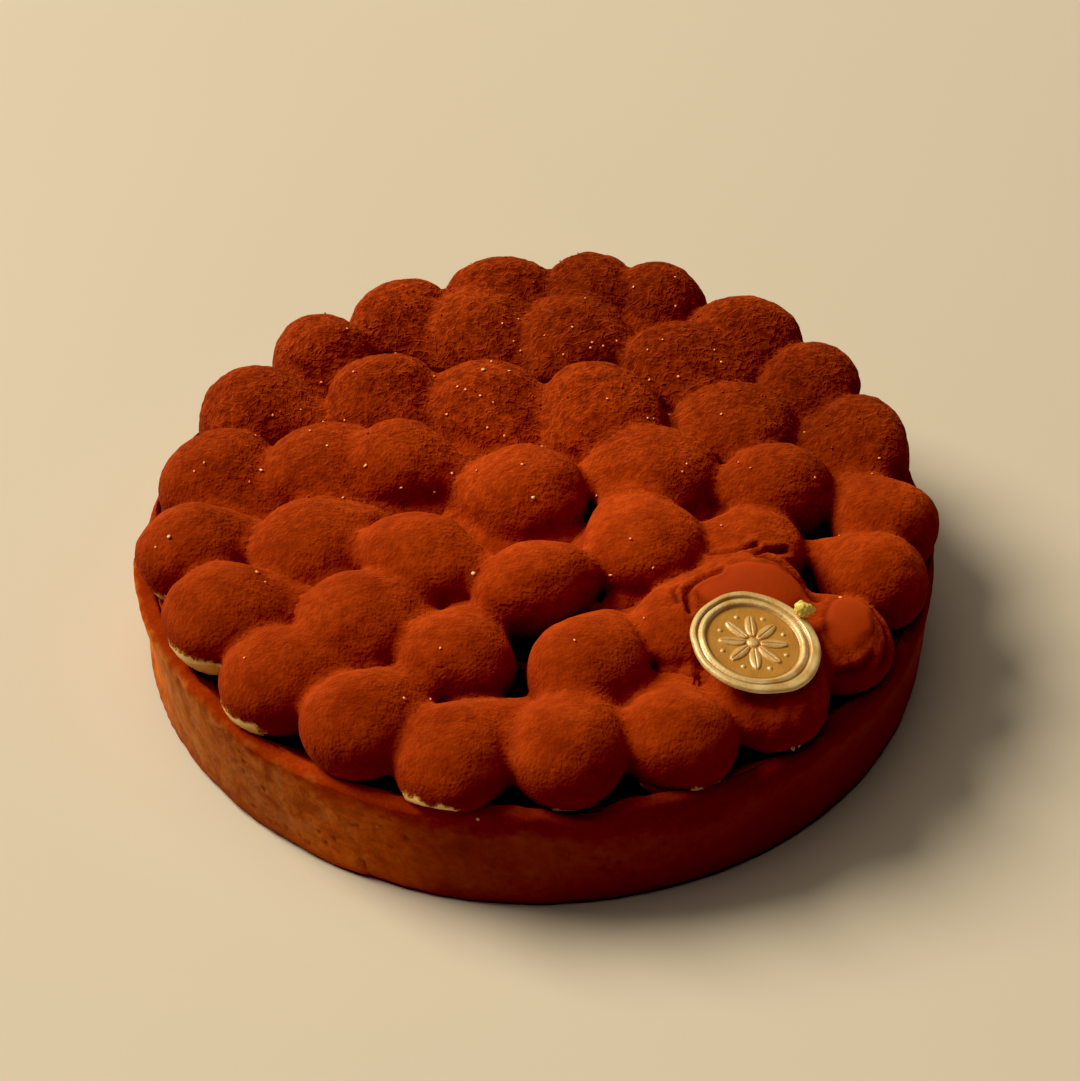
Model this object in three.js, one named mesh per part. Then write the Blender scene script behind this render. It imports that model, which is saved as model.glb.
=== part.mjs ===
// Chocolate tart: a shortcrust shell with a smooth bed, covered with piped
// cream drops in three rings round a centre drop, and a round gold seal.
// Millimetres, +Z up, origin at the centre of the flat underside.
import * as THREE from 'three';

// ---- driving sizes ----
const RIM_RADIUS = 110;        // outside of the crust at its top edge
const BASE_RADIUS = 108.4;     // outside of the crust at its foot
const CRUST_HEIGHT = 33;
const WALL = 4.4;              // crust thickness at the rim
const WALL_FOOT = 5.6;         // crust thickness where wall meets floor
const FLOOR = 4;
const RIM_WAVE = 0.45;         // uneven height of the baked edge
const BED_HEIGHT = 28.5;       // top of the smooth filling
const BANK_RADIUS = 101.2;     // where the filling starts to climb the crust
const BANK_SLOPE = 0.82;       // rise per millimetre outwards
const BANK_TOP = 31.2;
const GAP = 0.3;               // air left between touching pieces
const OVERHANG_SLOPE = 1.2;    // how steeply a drop may lean out over the rim
const DROP_DEPTH = 18;         // full depth of a drop below its widest line
const LONG_TAIL = 23;          // a tail longer than this runs out thin and low under the next ring
const TAIL = { short: { narrows: 0.25, sinks: 0.25 }, long: { narrows: 0.42, sinks: 0.6 } };
const ROUND = 96;              // facets round the crust
const DROP_SIDES = 12;
const DROP_BANDS = [24, 46, 68, 90, 116, 142];   // degrees down from the crown

const SEAL = {
  radius: 16.9, edge: 1.9, x: 56.3, y: -67.6, z: 54.9,   // centre of the top face
  lean: 10.6, towards: -25.4, heading: -41,              // tilt of the face, the side it dips to, and its turn
  sides: 48,
};
const NUGGET = { aside: 16.4, ahead: 2, height: 2.6, size: 3.1 };

// Each drop: angle round the tart, distance of its widest point from the axis,
// height of that widest line, turn of its head from straight outwards,
// head length, tail length, half width, crown height.
const RINGS = {
  dome_outer: [
    [-102.4, 95.9, 39, -38, 15.6, 29.1, 15.6, 11.5],
    [-85, 93.3, 39.8, -18, 14.5, 29.8, 15.3, 12.6],
    [-67.8, 94.1, 38.6, -18, 13.6, 24.1, 15.6, 13.4],
    [-50.4, 95.8, 40.2, 6, 14.2, 27.4, 14.6, 12.2],
    [-34, 95.4, 39.5, 0, 14.5, 26, 14.8, 12],
    [-18.5, 97, 40.2, -18, 12.4, 27.2, 13.2, 14],
    [-4.8, 96.8, 39.9, -49, 12.9, 29.4, 14.9, 13.4],
    [15.4, 97.4, 40.2, -7, 11.3, 28.4, 18.4, 14.5],
    [33.3, 93.8, 43, 29, 16.2, 27.9, 15.1, 10.6],
    [49.1, 93.2, 44.2, 17, 14.2, 28.9, 17.3, 12.9],
    [67.5, 94.3, 43, -1, 14, 23.6, 15.5, 15.1],
    [79.1, 92.3, 45.4, -11, 14, 28.4, 15.9, 12.5],
    [95.4, 93.3, 41.6, -7, 13.7, 26, 18.7, 13.8],
    [114.8, 94.8, 38.9, 12, 13.4, 27, 17, 13.7],
    [132.3, 91.5, 37, -8, 16.7, 24.1, 15.4, 15.4],
    [151.3, 91.2, 36.5, 9, 16.5, 29.8, 17.2, 14.6],
    [171, 89.6, 38.3, -39, 15.1, 29.6, 17.8, 14.2],
    [-168.6, 94.1, 41, 8, 15.7, 26, 15, 13.5],
    [-151.4, 94, 43, -18, 15.5, 28.9, 16.5, 11.8],
    [-134, 92.6, 40.2, -27, 18, 29.1, 15.3, 11.8],
    [-117.7, 94.6, 41.9, -18, 16.1, 27.9, 14.8, 12.1],
  ],
  dome_second: [
    [-108.7, 66.3, 41.4, 0, 13.1, 20, 16.3, 13],
    [-78.2, 66.9, 42.6, -35, 16.7, 22.5, 15.5, 13],
    [-51.4, 63.3, 42.6, -60, 16.2, 20.6, 14.3, 10.9],
    [-35.8, 71.1, 43.5, -10, 17.8, 20, 14.5, 11.8],
    [-18.9, 62.4, 42.6, 14, 13.4, 20, 14.8, 10.4],
    [3.2, 66.9, 43.5, 1, 15.6, 20, 14.8, 13.7],
    [27.6, 65.8, 43.8, -31, 15.9, 21.9, 17.4, 10.7],
    [56.2, 73.5, 42.9, 48, 12.8, 21.2, 18.5, 12.9],
    [80, 73.2, 43, -27, 15.1, 21.9, 18.4, 13],
    [102.3, 78.7, 40.5, 14, 16.9, 22.6, 15.7, 13.1],
    [134.5, 61.3, 42.8, -15, 16.3, 20, 16.8, 13],
    [168, 59.4, 42.8, -54, 17, 20, 18.2, 11.9],
    [-162.6, 62.9, 43, 19, 18.1, 22.9, 16.4, 10.8],
    [-132.6, 67.2, 43.5, -12, 16.6, 21.9, 16.8, 12.3],
  ],
  dome_third: [
    [-135.3, 41.2, 46.7, -64, 18.2, 20.9, 14.6, 12.3],
    [163.2, 38.6, 46, 0, 14.5, 20, 14.8, 13],
    [109.3, 42.2, 42.2, 11, 18.4, 21.9, 17.6, 13.7],
    [60.8, 41.5, 46, -10, 13.1, 22.5, 19.3, 13],
    [14.2, 34.1, 46, -6, 17.7, 22.5, 17, 11],
    [-37.7, 36.4, 46, -30, 16, 20, 17, 11.9],
    [-89.7, 38.5, 46, -63, 18, 19, 13.3, 12.5],
  ],
  dome_centre: [
    [-167.4, 3.3, 45.1, 152, 17.5, 20.4, 17.1, 13.9],
  ],
};

// ---- looks of the pieces ----
const look = (hex, roughness, metalness = 0) =>
  ({ color: hex, roughness, metalness });
const LOOKS = {
  crust: look(0x8a5526, 0.8),
  filling: look(0x2a130a, 0.6),
  dome: look(0x7a3d1a, 0.95),
  seal: look(0xd9b878, 0.4, 0.3),
  nugget: look(0xe8c45a, 0.3, 0.8),
};

const group = new THREE.Group();
group.name = 'chocolate_tart';

function addSolid(name, kind, points, faces) {
  const geometry = new THREE.BufferGeometry();
  geometry.setAttribute('position', new THREE.Float32BufferAttribute(points.flat(), 3));
  geometry.setIndex(faces.flat());
  geometry.computeVertexNormals();
  const mesh = new THREE.Mesh(geometry, new THREE.MeshStandardMaterial({ ...LOOKS[kind] }));
  mesh.name = name;
  group.add(mesh);
  return mesh;
}

const rad = THREE.MathUtils.degToRad;

// Closed skin over stacked rings of equal count, between two poles.
// Rings run from the first pole to the second, counter-clockwise seen from
// outside the first pole.
function skin(first, rings, last) {
  const n = rings[0].length;
  const points = [first, ...rings.flat(), last];
  const end = points.length - 1;
  const at = (band, k) => 1 + band * n + (k % n);
  const faces = [];
  for (let k = 0; k < n; k++) faces.push([0, at(0, k), at(0, k + 1)]);
  for (let band = 0; band + 1 < rings.length; band++) {
    for (let k = 0; k < n; k++) {
      const a = at(band, k), b = at(band, k + 1), c = at(band + 1, k), d = at(band + 1, k + 1);
      faces.push([a, c, d], [a, d, b]);
    }
  }
  for (let k = 0; k < n; k++) faces.push([at(rings.length - 1, k + 1), at(rings.length - 1, k), end]);
  return [points, faces];
}

// Solid of revolution from an outline of [radius, height] pairs that runs from
// the axis at the top, outwards and down, back to the axis at the bottom.
function turned(outline, top, bottom, wave = () => 0) {
  const rings = outline.map(([r, z, w = 0]) => Array.from({ length: ROUND }, (_, k) => {
    const a = (2 * Math.PI * k) / ROUND;
    return [r * Math.cos(a), r * Math.sin(a), z + w * wave(a)];
  }));
  return skin([0, 0, top], rings, [0, 0, bottom]);
}

// ---- crust ----
const rimWave = (a) => RIM_WAVE * (0.5 * Math.sin(5 * a + 1) + 0.3 * Math.sin(11 * a + 2.2) + 0.2 * Math.sin(23 * a));
const inner = RIM_RADIUS - WALL;
const innerFoot = BASE_RADIUS - WALL_FOOT;
addSolid('crust', 'crust', ...turned([
  [innerFoot - 2, FLOOR],
  [innerFoot, FLOOR + 2],
  [inner, CRUST_HEIGHT - 1.6],
  [inner + 1.6, CRUST_HEIGHT, 1],
  [RIM_RADIUS - 0.7, CRUST_HEIGHT - 0.4, 1],
  [RIM_RADIUS, CRUST_HEIGHT - 1.8],
  [RIM_RADIUS - 0.5, CRUST_HEIGHT / 2],
  [BASE_RADIUS, 1.2],
  [BASE_RADIUS - 1.2, 0],
], FLOOR, 0, rimWave));

// ---- bed inside the crust, flat, climbing the wall at its edge ----
const bank = (r) => BED_HEIGHT + BANK_SLOPE * Math.max(0, r - BANK_RADIUS);
const slope = (inner - innerFoot) / (CRUST_HEIGHT - 1.6 - FLOOR - 2);
const bedTopRadius = innerFoot + slope * (BANK_TOP - 0.6 - FLOOR - 2) - GAP - 0.1;
addSolid('filling', 'filling', ...turned([
  [BANK_RADIUS, BED_HEIGHT],
  [BANK_RADIUS + (BANK_TOP - BED_HEIGHT) / BANK_SLOPE, BANK_TOP],
  [bedTopRadius, BANK_TOP - 0.6],
  [innerFoot - GAP - 0.1, FLOOR + 2.2],
  [innerFoot - 2.2 - GAP, FLOOR + GAP],
], BED_HEIGHT, FLOOR + GAP));

// ---- piped drops ----
const smooth = (x) => { const c = Math.min(1, Math.max(0, x)); return c * c * (3 - 2 * c); };

class Drop {
  constructor(name, [angle, reach, z, turn, head, tail, half, crown]) {
    Object.assign(this, { name, head, tail, half, crown, taper: tail > LONG_TAIL ? TAIL.long : TAIL.short });
    this.centre = new THREE.Vector3(reach * Math.cos(rad(angle)), reach * Math.sin(rad(angle)), z);
    const h = rad(angle + turn);
    this.fore = new THREE.Vector3(Math.cos(h), Math.sin(h), 0);
    this.side = new THREE.Vector3(-Math.sin(h), Math.cos(h), 0);
  }
  // Offset from the centre to the skin, for a unit direction (a ahead, b aside, c up).
  skinAt(a, b, c) {
    const run = smooth(-a);
    const x = a * (a > 0 ? this.head : this.tail);
    const y = b * this.half * (1 - this.taper.narrows * run);
    const z = c > 0 ? c * this.crown * (1 - this.taper.sinks * run) : c * DROP_DEPTH;
    return new THREE.Vector3(0, 0, z).addScaledVector(this.fore, x).addScaledVector(this.side, y);
  }
  // How far out a point lies: 1 on the skin, less inside.
  depthOf(p) {
    const v = p.clone().sub(this.centre);
    const x = v.dot(this.fore), y = v.dot(this.side), z = v.z;
    const ax = x / (x > 0 ? this.head : this.tail);
    let s = 1;
    for (let i = 0; i < 6; i++) {
      const run = smooth(-ax / Math.max(s, 1e-6));
      const by = y / (this.half * (1 - this.taper.narrows * run));
      const cz = z > 0 ? z / (this.crown * (1 - this.taper.sinks * run)) : z / DROP_DEPTH;
      s = Math.hypot(ax, by, cz);
    }
    return s;
  }
}

const drops = Object.entries(RINGS).flatMap(([ring, rows]) => rows.map((row, i) =>
  new Drop(rows.length > 1 ? `${ring}_${String(i + 1).padStart(2, '0')}` : ring, row)));

// The plane of the seal's underside, facing down: the drops under the seal stay below it.
const sealFrame = (() => {
  const lean = rad(SEAL.lean), way = rad(SEAL.towards), heading = rad(SEAL.heading);
  const up = new THREE.Vector3(Math.sin(lean) * Math.cos(way), Math.sin(lean) * Math.sin(way), Math.cos(lean));
  const flat = new THREE.Vector3(Math.cos(heading), Math.sin(heading), 0);
  const fore = flat.addScaledVector(up, -flat.dot(up)).normalize();
  const side = up.clone().cross(fore);
  return { up, fore, side, centre: new THREE.Vector3(SEAL.x, SEAL.y, SEAL.z) };
})();
const sealUnder = { up: sealFrame.up, point: sealFrame.centre.clone().addScaledVector(sealFrame.up, -SEAL.edge - GAP) };

// Walls between neighbouring drops: planes where the two skins meet.
function wallBetween(p, q) {
  const along = q.centre.clone().sub(p.centre);
  let low = 0, high = 1;
  for (let i = 0; i < 30; i++) {
    const mid = (low + high) / 2;
    const point = p.centre.clone().addScaledVector(along, mid);
    if (p.depthOf(point) < q.depthOf(point)) low = mid; else high = mid;
  }
  const length = along.length();
  return { normal: along.divideScalar(length), reach: low * length - GAP / 2 };
}

for (const drop of drops) {
  const walls = drops
    .filter((other) => other !== drop && other.centre.distanceTo(drop.centre) < 46)
    .map((other) => wallBetween(drop, other));
  if (Math.hypot(drop.centre.x - SEAL.x, drop.centre.y - SEAL.y) < SEAL.radius + 17) walls.push({
    normal: sealUnder.up,
    reach: sealUnder.point.clone().sub(drop.centre).dot(sealUnder.up),
  });
  const floor = BED_HEIGHT + GAP;
  const insideRim = (p) => Math.hypot(p.x, p.y) <= inner - GAP - 0.1 + OVERHANG_SLOPE * (p.z - CRUST_HEIGHT - RIM_WAVE - GAP)
    && Math.hypot(p.x, p.y) <= RIM_RADIUS - 0.1
    && p.z >= bank(Math.hypot(p.x, p.y)) + GAP - 1e-6;
  const trimmed = (offset) => {
    let t = 1;
    for (const { normal, reach } of walls) {
      const out = offset.dot(normal);
      if (out > 1e-9) t = Math.min(t, reach / out);
    }
    if (offset.z < 0) t = Math.min(t, (floor - drop.centre.z) / offset.z);
    const at = (s) => drop.centre.clone().addScaledVector(offset, s);
    if (!insideRim(at(t))) {
      let low = 0, high = t;
      for (let i = 0; i < 24; i++) {
        const mid = (low + high) / 2;
        if (insideRim(at(mid))) low = mid; else high = mid;
      }
      t = low;
    }
    return at(t).toArray();
  };
  const bands = DROP_BANDS.map((down) => Array.from({ length: DROP_SIDES }, (_, k) => {
    const turn = (2 * Math.PI * (k + 0.5)) / DROP_SIDES, s = Math.sin(rad(down));
    return trimmed(drop.skinAt(s * Math.cos(turn), s * Math.sin(turn), Math.cos(rad(down))));
  }));
  addSolid(drop.name, 'dome', ...skin(trimmed(drop.skinAt(0, 0, 1)), bands, trimmed(drop.skinAt(0, 0, -1))));
}

// ---- gold seal: a poured disc with an uneven edge, two raised rings and a plain flower ----
{
  const petals = 8, { radius, edge, sides } = SEAL;
  const wobble = (a) => 1 + 0.012 * Math.sin(3 * a + 0.6) + 0.01 * Math.sin(7 * a + 2);
  const place = (r, a, h) => sealFrame.centre.clone()
    .addScaledVector(sealFrame.fore, r * Math.cos(a))
    .addScaledVector(sealFrame.side, r * Math.sin(a))
    .addScaledVector(sealFrame.up, h).toArray();
  const petal = (a) => Math.max(0, Math.cos(petals * a));
  const profile = [
    [0.12, () => -0.55], [0.30, (a) => -1.05 + 0.55 * petal(a)], [0.50, (a) => -1.05 + 0.45 * petal(a)],
    [0.64, () => -1.05], [0.72, () => -0.45], [0.79, () => -0.75], [0.87, () => 0], [0.95, () => -0.2], [1, () => -1],
    [0.97, () => -edge + 0.3], [0.9, () => -edge],
  ];
  const rings = profile.map(([f, h]) => Array.from({ length: sides }, (_, k) => {
    const a = (2 * Math.PI * k) / sides;
    return place(radius * f * (f > 0.6 ? wobble(a) : 1), a, h(a));
  }));
  addSolid('seal', 'seal', ...skin(place(0, 0, -0.5), rings, place(0, 0, -edge)));
}

// ---- crumpled nugget of gold leaf on the seal's edge ----
{
  const { aside, ahead, height, size } = NUGGET;
  const ball = new THREE.IcosahedronGeometry(1, 0);
  const corners = [];
  const index = [];
  const position = ball.getAttribute('position');
  for (let i = 0; i < position.count; i++) {
    const v = new THREE.Vector3().fromBufferAttribute(position, i);
    let found = corners.findIndex((c) => c.distanceTo(v) < 1e-4);
    if (found < 0) found = corners.push(v) - 1;
    index.push(found);
  }
  const turn = rad(-SEAL.heading);
  const points = corners.map((v, i) => {
    const s = size * (0.85 + 0.3 * ((i * 7) % 5) / 4) * (v.x > 0.7 ? 1.5 : 1);
    const x = v.x * s, y = v.y * s;
    return sealFrame.centre.clone()
      .addScaledVector(sealFrame.fore, ahead + x * Math.cos(turn) - y * Math.sin(turn))
      .addScaledVector(sealFrame.side, aside + x * Math.sin(turn) + y * Math.cos(turn))
      .addScaledVector(sealFrame.up, Math.max(0.35, height + v.z * s * 0.8)).toArray();
  });
  addSolid('gold_nugget', 'nugget', points, Array.from({ length: index.length / 3 }, (_, i) => index.slice(3 * i, 3 * i + 3)));
}

export default group;
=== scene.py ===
import bpy
import math
import numpy as np
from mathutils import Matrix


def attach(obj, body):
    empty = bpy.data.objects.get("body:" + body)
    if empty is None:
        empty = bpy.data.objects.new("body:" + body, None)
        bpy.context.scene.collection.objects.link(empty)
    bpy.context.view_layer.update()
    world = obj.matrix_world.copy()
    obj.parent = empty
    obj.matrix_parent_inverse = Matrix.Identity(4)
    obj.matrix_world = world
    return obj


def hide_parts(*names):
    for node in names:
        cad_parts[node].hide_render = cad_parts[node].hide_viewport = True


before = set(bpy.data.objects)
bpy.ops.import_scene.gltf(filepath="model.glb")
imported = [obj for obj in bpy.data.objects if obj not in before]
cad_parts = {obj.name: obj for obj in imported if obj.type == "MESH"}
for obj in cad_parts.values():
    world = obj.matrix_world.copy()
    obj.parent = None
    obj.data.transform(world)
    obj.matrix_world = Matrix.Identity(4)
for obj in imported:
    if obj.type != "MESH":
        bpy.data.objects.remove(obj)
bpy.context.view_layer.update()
MM = 0.001

# ---------------------------------------------------------------- sizes, in millimetres, as in the CAD model
RIM_R, BASE_R, CRUST_H, WALL, WALL_FOOT, FLOOR_T, BED = 110.0, 108.4, 33.0, 4.4, 5.6, 4.0, 28.5
BANK_R, BANK_SLOPE = 101.2, 0.82      # where the filling starts to climb the crust, and how steeply
DROP_DEPTH = 18.0
SEAL = dict(radius=16.9, edge=1.9, x=56.3, y=-67.6, z=54.9, lean=10.6, towards=-25.4, heading=-41.0)

# angle, distance of the widest point, height of the widest line, turn of the head,
# head length, tail length, half width, crown height
RINGS = {
    "dome_outer": [
        (-102.4, 95.9, 39.0, -38, 15.6, 29.1, 15.6, 11.5), (-85.0, 93.3, 39.8, -18, 14.5, 29.8, 15.3, 12.6),
        (-67.8, 94.1, 38.6, -18, 13.6, 24.1, 15.6, 13.4), (-50.4, 95.8, 40.2, 6, 14.2, 27.4, 14.6, 12.2),
        (-34.0, 95.4, 39.5, 0, 14.5, 26.0, 14.8, 12.0), (-18.5, 97.0, 40.2, -18, 12.4, 27.2, 13.2, 14.0),
        (-4.8, 96.8, 39.9, -49, 12.9, 29.4, 14.9, 13.4), (15.4, 97.4, 40.2, -7, 11.3, 28.4, 18.4, 14.5),
        (33.3, 93.8, 43, 29, 16.2, 27.9, 15.1, 10.6), (49.1, 93.2, 44.2, 17, 14.2, 28.9, 17.3, 12.9),
        (67.5, 94.3, 43, -1, 14.0, 23.6, 15.5, 15.1), (79.1, 92.3, 45.4, -11, 14.0, 28.4, 15.9, 12.5),
        (95.4, 93.3, 41.6, -7, 13.7, 26.0, 18.7, 13.8), (114.8, 94.8, 38.9, 12, 13.4, 27.0, 17.0, 13.7),
        (132.3, 91.5, 37, -8, 16.7, 24.1, 15.4, 15.4), (151.3, 91.2, 36.5, 9, 16.5, 29.8, 17.2, 14.6),
        (171.0, 89.6, 38.3, -39, 15.1, 29.6, 17.8, 14.2), (-168.6, 94.1, 41, 8, 15.7, 26.0, 15.0, 13.5),
        (-151.4, 94.0, 43.0, -18, 15.5, 28.9, 16.5, 11.8), (-134.0, 92.6, 40.2, -27, 18.0, 29.1, 15.3, 11.8),
        (-117.7, 94.6, 41.9, -18, 16.1, 27.9, 14.8, 12.1),
    ],
    "dome_second": [
        (-108.7, 66.3, 41.4, 0, 13.1, 20.0, 16.3, 13.0), (-78.2, 66.9, 42.6, -35, 16.7, 22.5, 15.5, 13.0),
        (-51.4, 63.3, 42.6, -60, 16.2, 20.6, 14.3, 10.9), (-35.8, 71.1, 43.5, -10, 17.8, 20.0, 14.5, 11.8),
        (-18.9, 62.4, 42.6, 14, 13.4, 20.0, 14.8, 10.4), (3.2, 66.9, 43.5, 1, 15.6, 20.0, 14.8, 13.7),
        (27.6, 65.8, 43.8, -31, 15.9, 21.9, 17.4, 10.7), (56.2, 73.5, 42.9, 48, 12.8, 21.2, 18.5, 12.9),
        (80.0, 73.2, 43.0, -27, 15.1, 21.9, 18.4, 13.0), (102.3, 78.7, 40.5, 14, 16.9, 22.6, 15.7, 13.1),
        (134.5, 61.3, 42.8, -15, 16.3, 20.0, 16.8, 13.0), (168.0, 59.4, 42.8, -54, 17.0, 20.0, 18.2, 11.9),
        (-162.6, 62.9, 43.0, 19, 18.1, 22.9, 16.4, 10.8), (-132.6, 67.2, 43.5, -12, 16.6, 21.9, 16.8, 12.3),
    ],
    "dome_third": [
        (-135.3, 41.2, 46.7, -64, 18.2, 20.9, 14.6, 12.3), (163.2, 38.6, 46.0, 0, 14.5, 20.0, 14.8, 13.0),
        (109.3, 42.2, 42.2, 11, 18.4, 21.9, 17.6, 13.7), (60.8, 41.5, 46.0, -10, 13.1, 22.5, 19.3, 13.0),
        (14.2, 34.1, 46.0, -6, 17.7, 22.5, 17.0, 11.0), (-37.7, 36.4, 46.0, -30, 16.0, 20.0, 17.0, 11.9),
        (-89.7, 38.5, 46.0, -63, 18.0, 19.0, 13.3, 12.5),
    ],
    "dome_centre": [(-167.4, 3.3, 45.1, 152, 17.5, 20.4, 17.1, 13.9)],
}


# ---------------------------------------------------------------- noise on arrays of points
def _hash(i, j, k, seed):
    with np.errstate(over="ignore"):
        h = (i.astype(np.uint32) * np.uint32(374761393) + j.astype(np.uint32) * np.uint32(668265263)
             + k.astype(np.uint32) * np.uint32(2246822519) + np.uint32((seed * 3266489917) & 0xFFFFFFFF))
        h = (h ^ (h >> np.uint32(13))) * np.uint32(1274126177)
        return h ^ (h >> np.uint32(16))


_g = np.random.default_rng(7).normal(size=(256, 3))
GRAD = (_g / np.linalg.norm(_g, axis=1, keepdims=True)).astype(np.float32)


def noise(P, size, seed=0):
    """Gradient noise, about -1 to 1, with bumps of about that size."""
    Q = np.asarray(P, np.float32) / np.float32(size)
    I = np.floor(Q).astype(np.int64)
    F = Q - I
    U = F * F * F * (F * (F * 6 - 15) + 10)
    out = np.zeros(len(Q), np.float32)
    for dx in (0, 1):
        for dy in (0, 1):
            for dz in (0, 1):
                g = GRAD[_hash(I[:, 0] + dx, I[:, 1] + dy, I[:, 2] + dz, seed) & np.uint32(255)]
                d = g[:, 0] * (F[:, 0] - dx) + g[:, 1] * (F[:, 1] - dy) + g[:, 2] * (F[:, 2] - dz)
                w = ((U[:, 0] if dx else 1 - U[:, 0]) * (U[:, 1] if dy else 1 - U[:, 1])
                     * (U[:, 2] if dz else 1 - U[:, 2]))
                out += d * w
    return out * 1.6


def fbm(P, size, octaves=3, seed=0, gain=0.5):
    total, amp = 0, 1.0
    for o in range(octaves):
        total = total + amp * noise(P, size / 2 ** o, seed + 17 * o)
        amp *= gain
    return total


def sstep(x, a=0.0, b=1.0):
    t = np.clip((x - a) / (b - a), 0, 1)
    return t * t * (3 - 2 * t)


# ---------------------------------------------------------------- mesh helper
def make_piece(name, verts_mm, faces, material, nodes=(), attributes=None, smooth=True, stage=False):
    """A mesh object from points in millimetres and an array (or list of arrays) of faces."""
    if isinstance(faces, np.ndarray):
        faces = [faces]
    me = bpy.data.meshes.new(name)
    verts = np.asarray(verts_mm, np.float32) * np.float32(MM)
    loops = np.concatenate([f.reshape(-1) for f in faces]).astype(np.int32)
    sizes = np.concatenate([np.full(len(f), f.shape[1], np.int32) for f in faces])
    starts = np.concatenate([[0], np.cumsum(sizes)[:-1]]).astype(np.int32)
    me.vertices.add(len(verts)); me.vertices.foreach_set("co", verts.ravel())
    me.loops.add(len(loops)); me.loops.foreach_set("vertex_index", loops)
    me.polygons.add(len(sizes)); me.polygons.foreach_set("loop_start", starts)
    me.polygons.foreach_set("use_smooth", np.full(len(sizes), smooth))
    me.update(calc_edges=True); me.validate()
    for key, values in (attributes or {}).items():
        at = me.attributes.new(key, "FLOAT", "POINT")
        at.data.foreach_set("value", np.asarray(values, np.float32))
    me.materials.append(material)
    ob = bpy.data.objects.new(name, me)
    bpy.context.scene.collection.objects.link(ob)
    if stage:
        return ob
    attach(ob, "root")
    if nodes:
        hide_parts(*nodes)
    return ob


def grid_faces(rows, cols, wrap=True):
    """Quads over rows of points, each row closed on itself if wrap."""
    r = np.arange(rows - 1)[:, None]
    c = np.arange(cols if wrap else cols - 1)[None, :]
    c2 = (c + 1) % cols
    a, b = r * cols + c, r * cols + c2
    d, e = (r + 1) * cols + c, (r + 1) * cols + c2
    return np.stack([a, d, e, b], -1).reshape(-1, 4)


# ---------------------------------------------------------------- materials
def principled(name):
    m = bpy.data.materials.new(name)
    m.use_nodes = True
    nt = m.node_tree
    nt.nodes.clear()
    out = nt.nodes.new("ShaderNodeOutputMaterial")
    bs = nt.nodes.new("ShaderNodeBsdfPrincipled")
    nt.links.new(bs.outputs[0], out.inputs[0])
    return m, nt, bs


class Graph:
    """Small helper for wiring shader nodes."""

    def __init__(self, nt):
        self.nt = nt
        self.coord = nt.nodes.new("ShaderNodeTexCoord").outputs["Object"]

    def node(self, kind, **inputs):
        n = self.nt.nodes.new(kind)
        for key, value in inputs.items():
            self.put(n.inputs[key.replace("_", " ")], value)
        return n

    def put(self, socket, value):
        if isinstance(value, bpy.types.NodeSocket):
            self.nt.links.new(value, socket)
        else:
            socket.default_value = value

    def noise(self, size_mm, detail=3.0, rough=0.55, distort=0.0, vector=None, stretch=None):
        v = vector or self.coord
        if stretch:
            mp = self.node("ShaderNodeMapping", Vector=v)
            mp.inputs["Scale"].default_value = stretch
            v = mp.outputs[0]
        n = self.node("ShaderNodeTexNoise", Vector=v, Scale=1000.0 / size_mm, Detail=detail, Roughness=rough, Distortion=distort)
        return n.outputs["Fac"]

    def voronoi(self, size_mm, feature="F1", vector=None, randomness=1.0):
        n = self.node("ShaderNodeTexVoronoi", Vector=vector or self.coord, Scale=1000.0 / size_mm, Randomness=randomness)
        n.feature = feature
        return n.outputs["Distance"]

    def ramp(self, fac, *stops, ease="LINEAR"):
        n = self.nt.nodes.new("ShaderNodeValToRGB")
        n.color_ramp.interpolation = ease
        self.put(n.inputs[0], fac)
        els = n.color_ramp.elements
        while len(els) < len(stops):
            els.new(0.5)
        for el, (pos, col) in zip(els, stops):
            el.position = pos
            el.color = (*col, 1) if isinstance(col, tuple) else (col, col, col, 1)
        return n.outputs[0]

    def math(self, op, a, b=None, clamp=False):
        n = self.nt.nodes.new("ShaderNodeMath")
        n.operation = op
        n.use_clamp = clamp
        self.put(n.inputs[0], a)
        if b is not None:
            self.put(n.inputs[1], b)
        return n.outputs[0]

    def span(self, value, lo, hi, to_lo=0.0, to_hi=1.0):
        n = self.node("ShaderNodeMapRange")
        n.interpolation_type = "SMOOTHSTEP"
        for i, v in enumerate((value, lo, hi, to_lo, to_hi)):
            self.put(n.inputs[i], v)
        return n.outputs[0]

    def mix(self, fac, a, b, blend="MIX"):
        n = self.nt.nodes.new("ShaderNodeMix")
        n.data_type = "RGBA"
        n.blend_type = blend
        self.put(n.inputs["Factor"], fac)
        for key, value in (("A", a), ("B", b)):
            socket = [s for s in n.inputs if s.name == key and s.type == "RGBA"][0]
            self.put(socket, (*value, 1) if isinstance(value, tuple) and len(value) == 3 else value)
        return [s for s in n.outputs if s.type == "RGBA"][0]

    def scale(self, colour, factor):
        n = self.nt.nodes.new("ShaderNodeVectorMath")
        n.operation = "SCALE"
        self.put(n.inputs[0], colour)
        self.put(n.inputs["Scale"], factor)
        return n.outputs[0]

    def attribute(self, name):
        n = self.nt.nodes.new("ShaderNodeAttribute")
        n.attribute_name = name
        return n.outputs["Fac"]

    def bump(self, height, distance_mm, strength=1.0, normal=None):
        n = self.node("ShaderNodeBump", Height=height, Strength=strength, Distance=distance_mm * MM)
        if normal is not None:
            self.put(n.inputs["Normal"], normal)
        return n.outputs[0]


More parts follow.
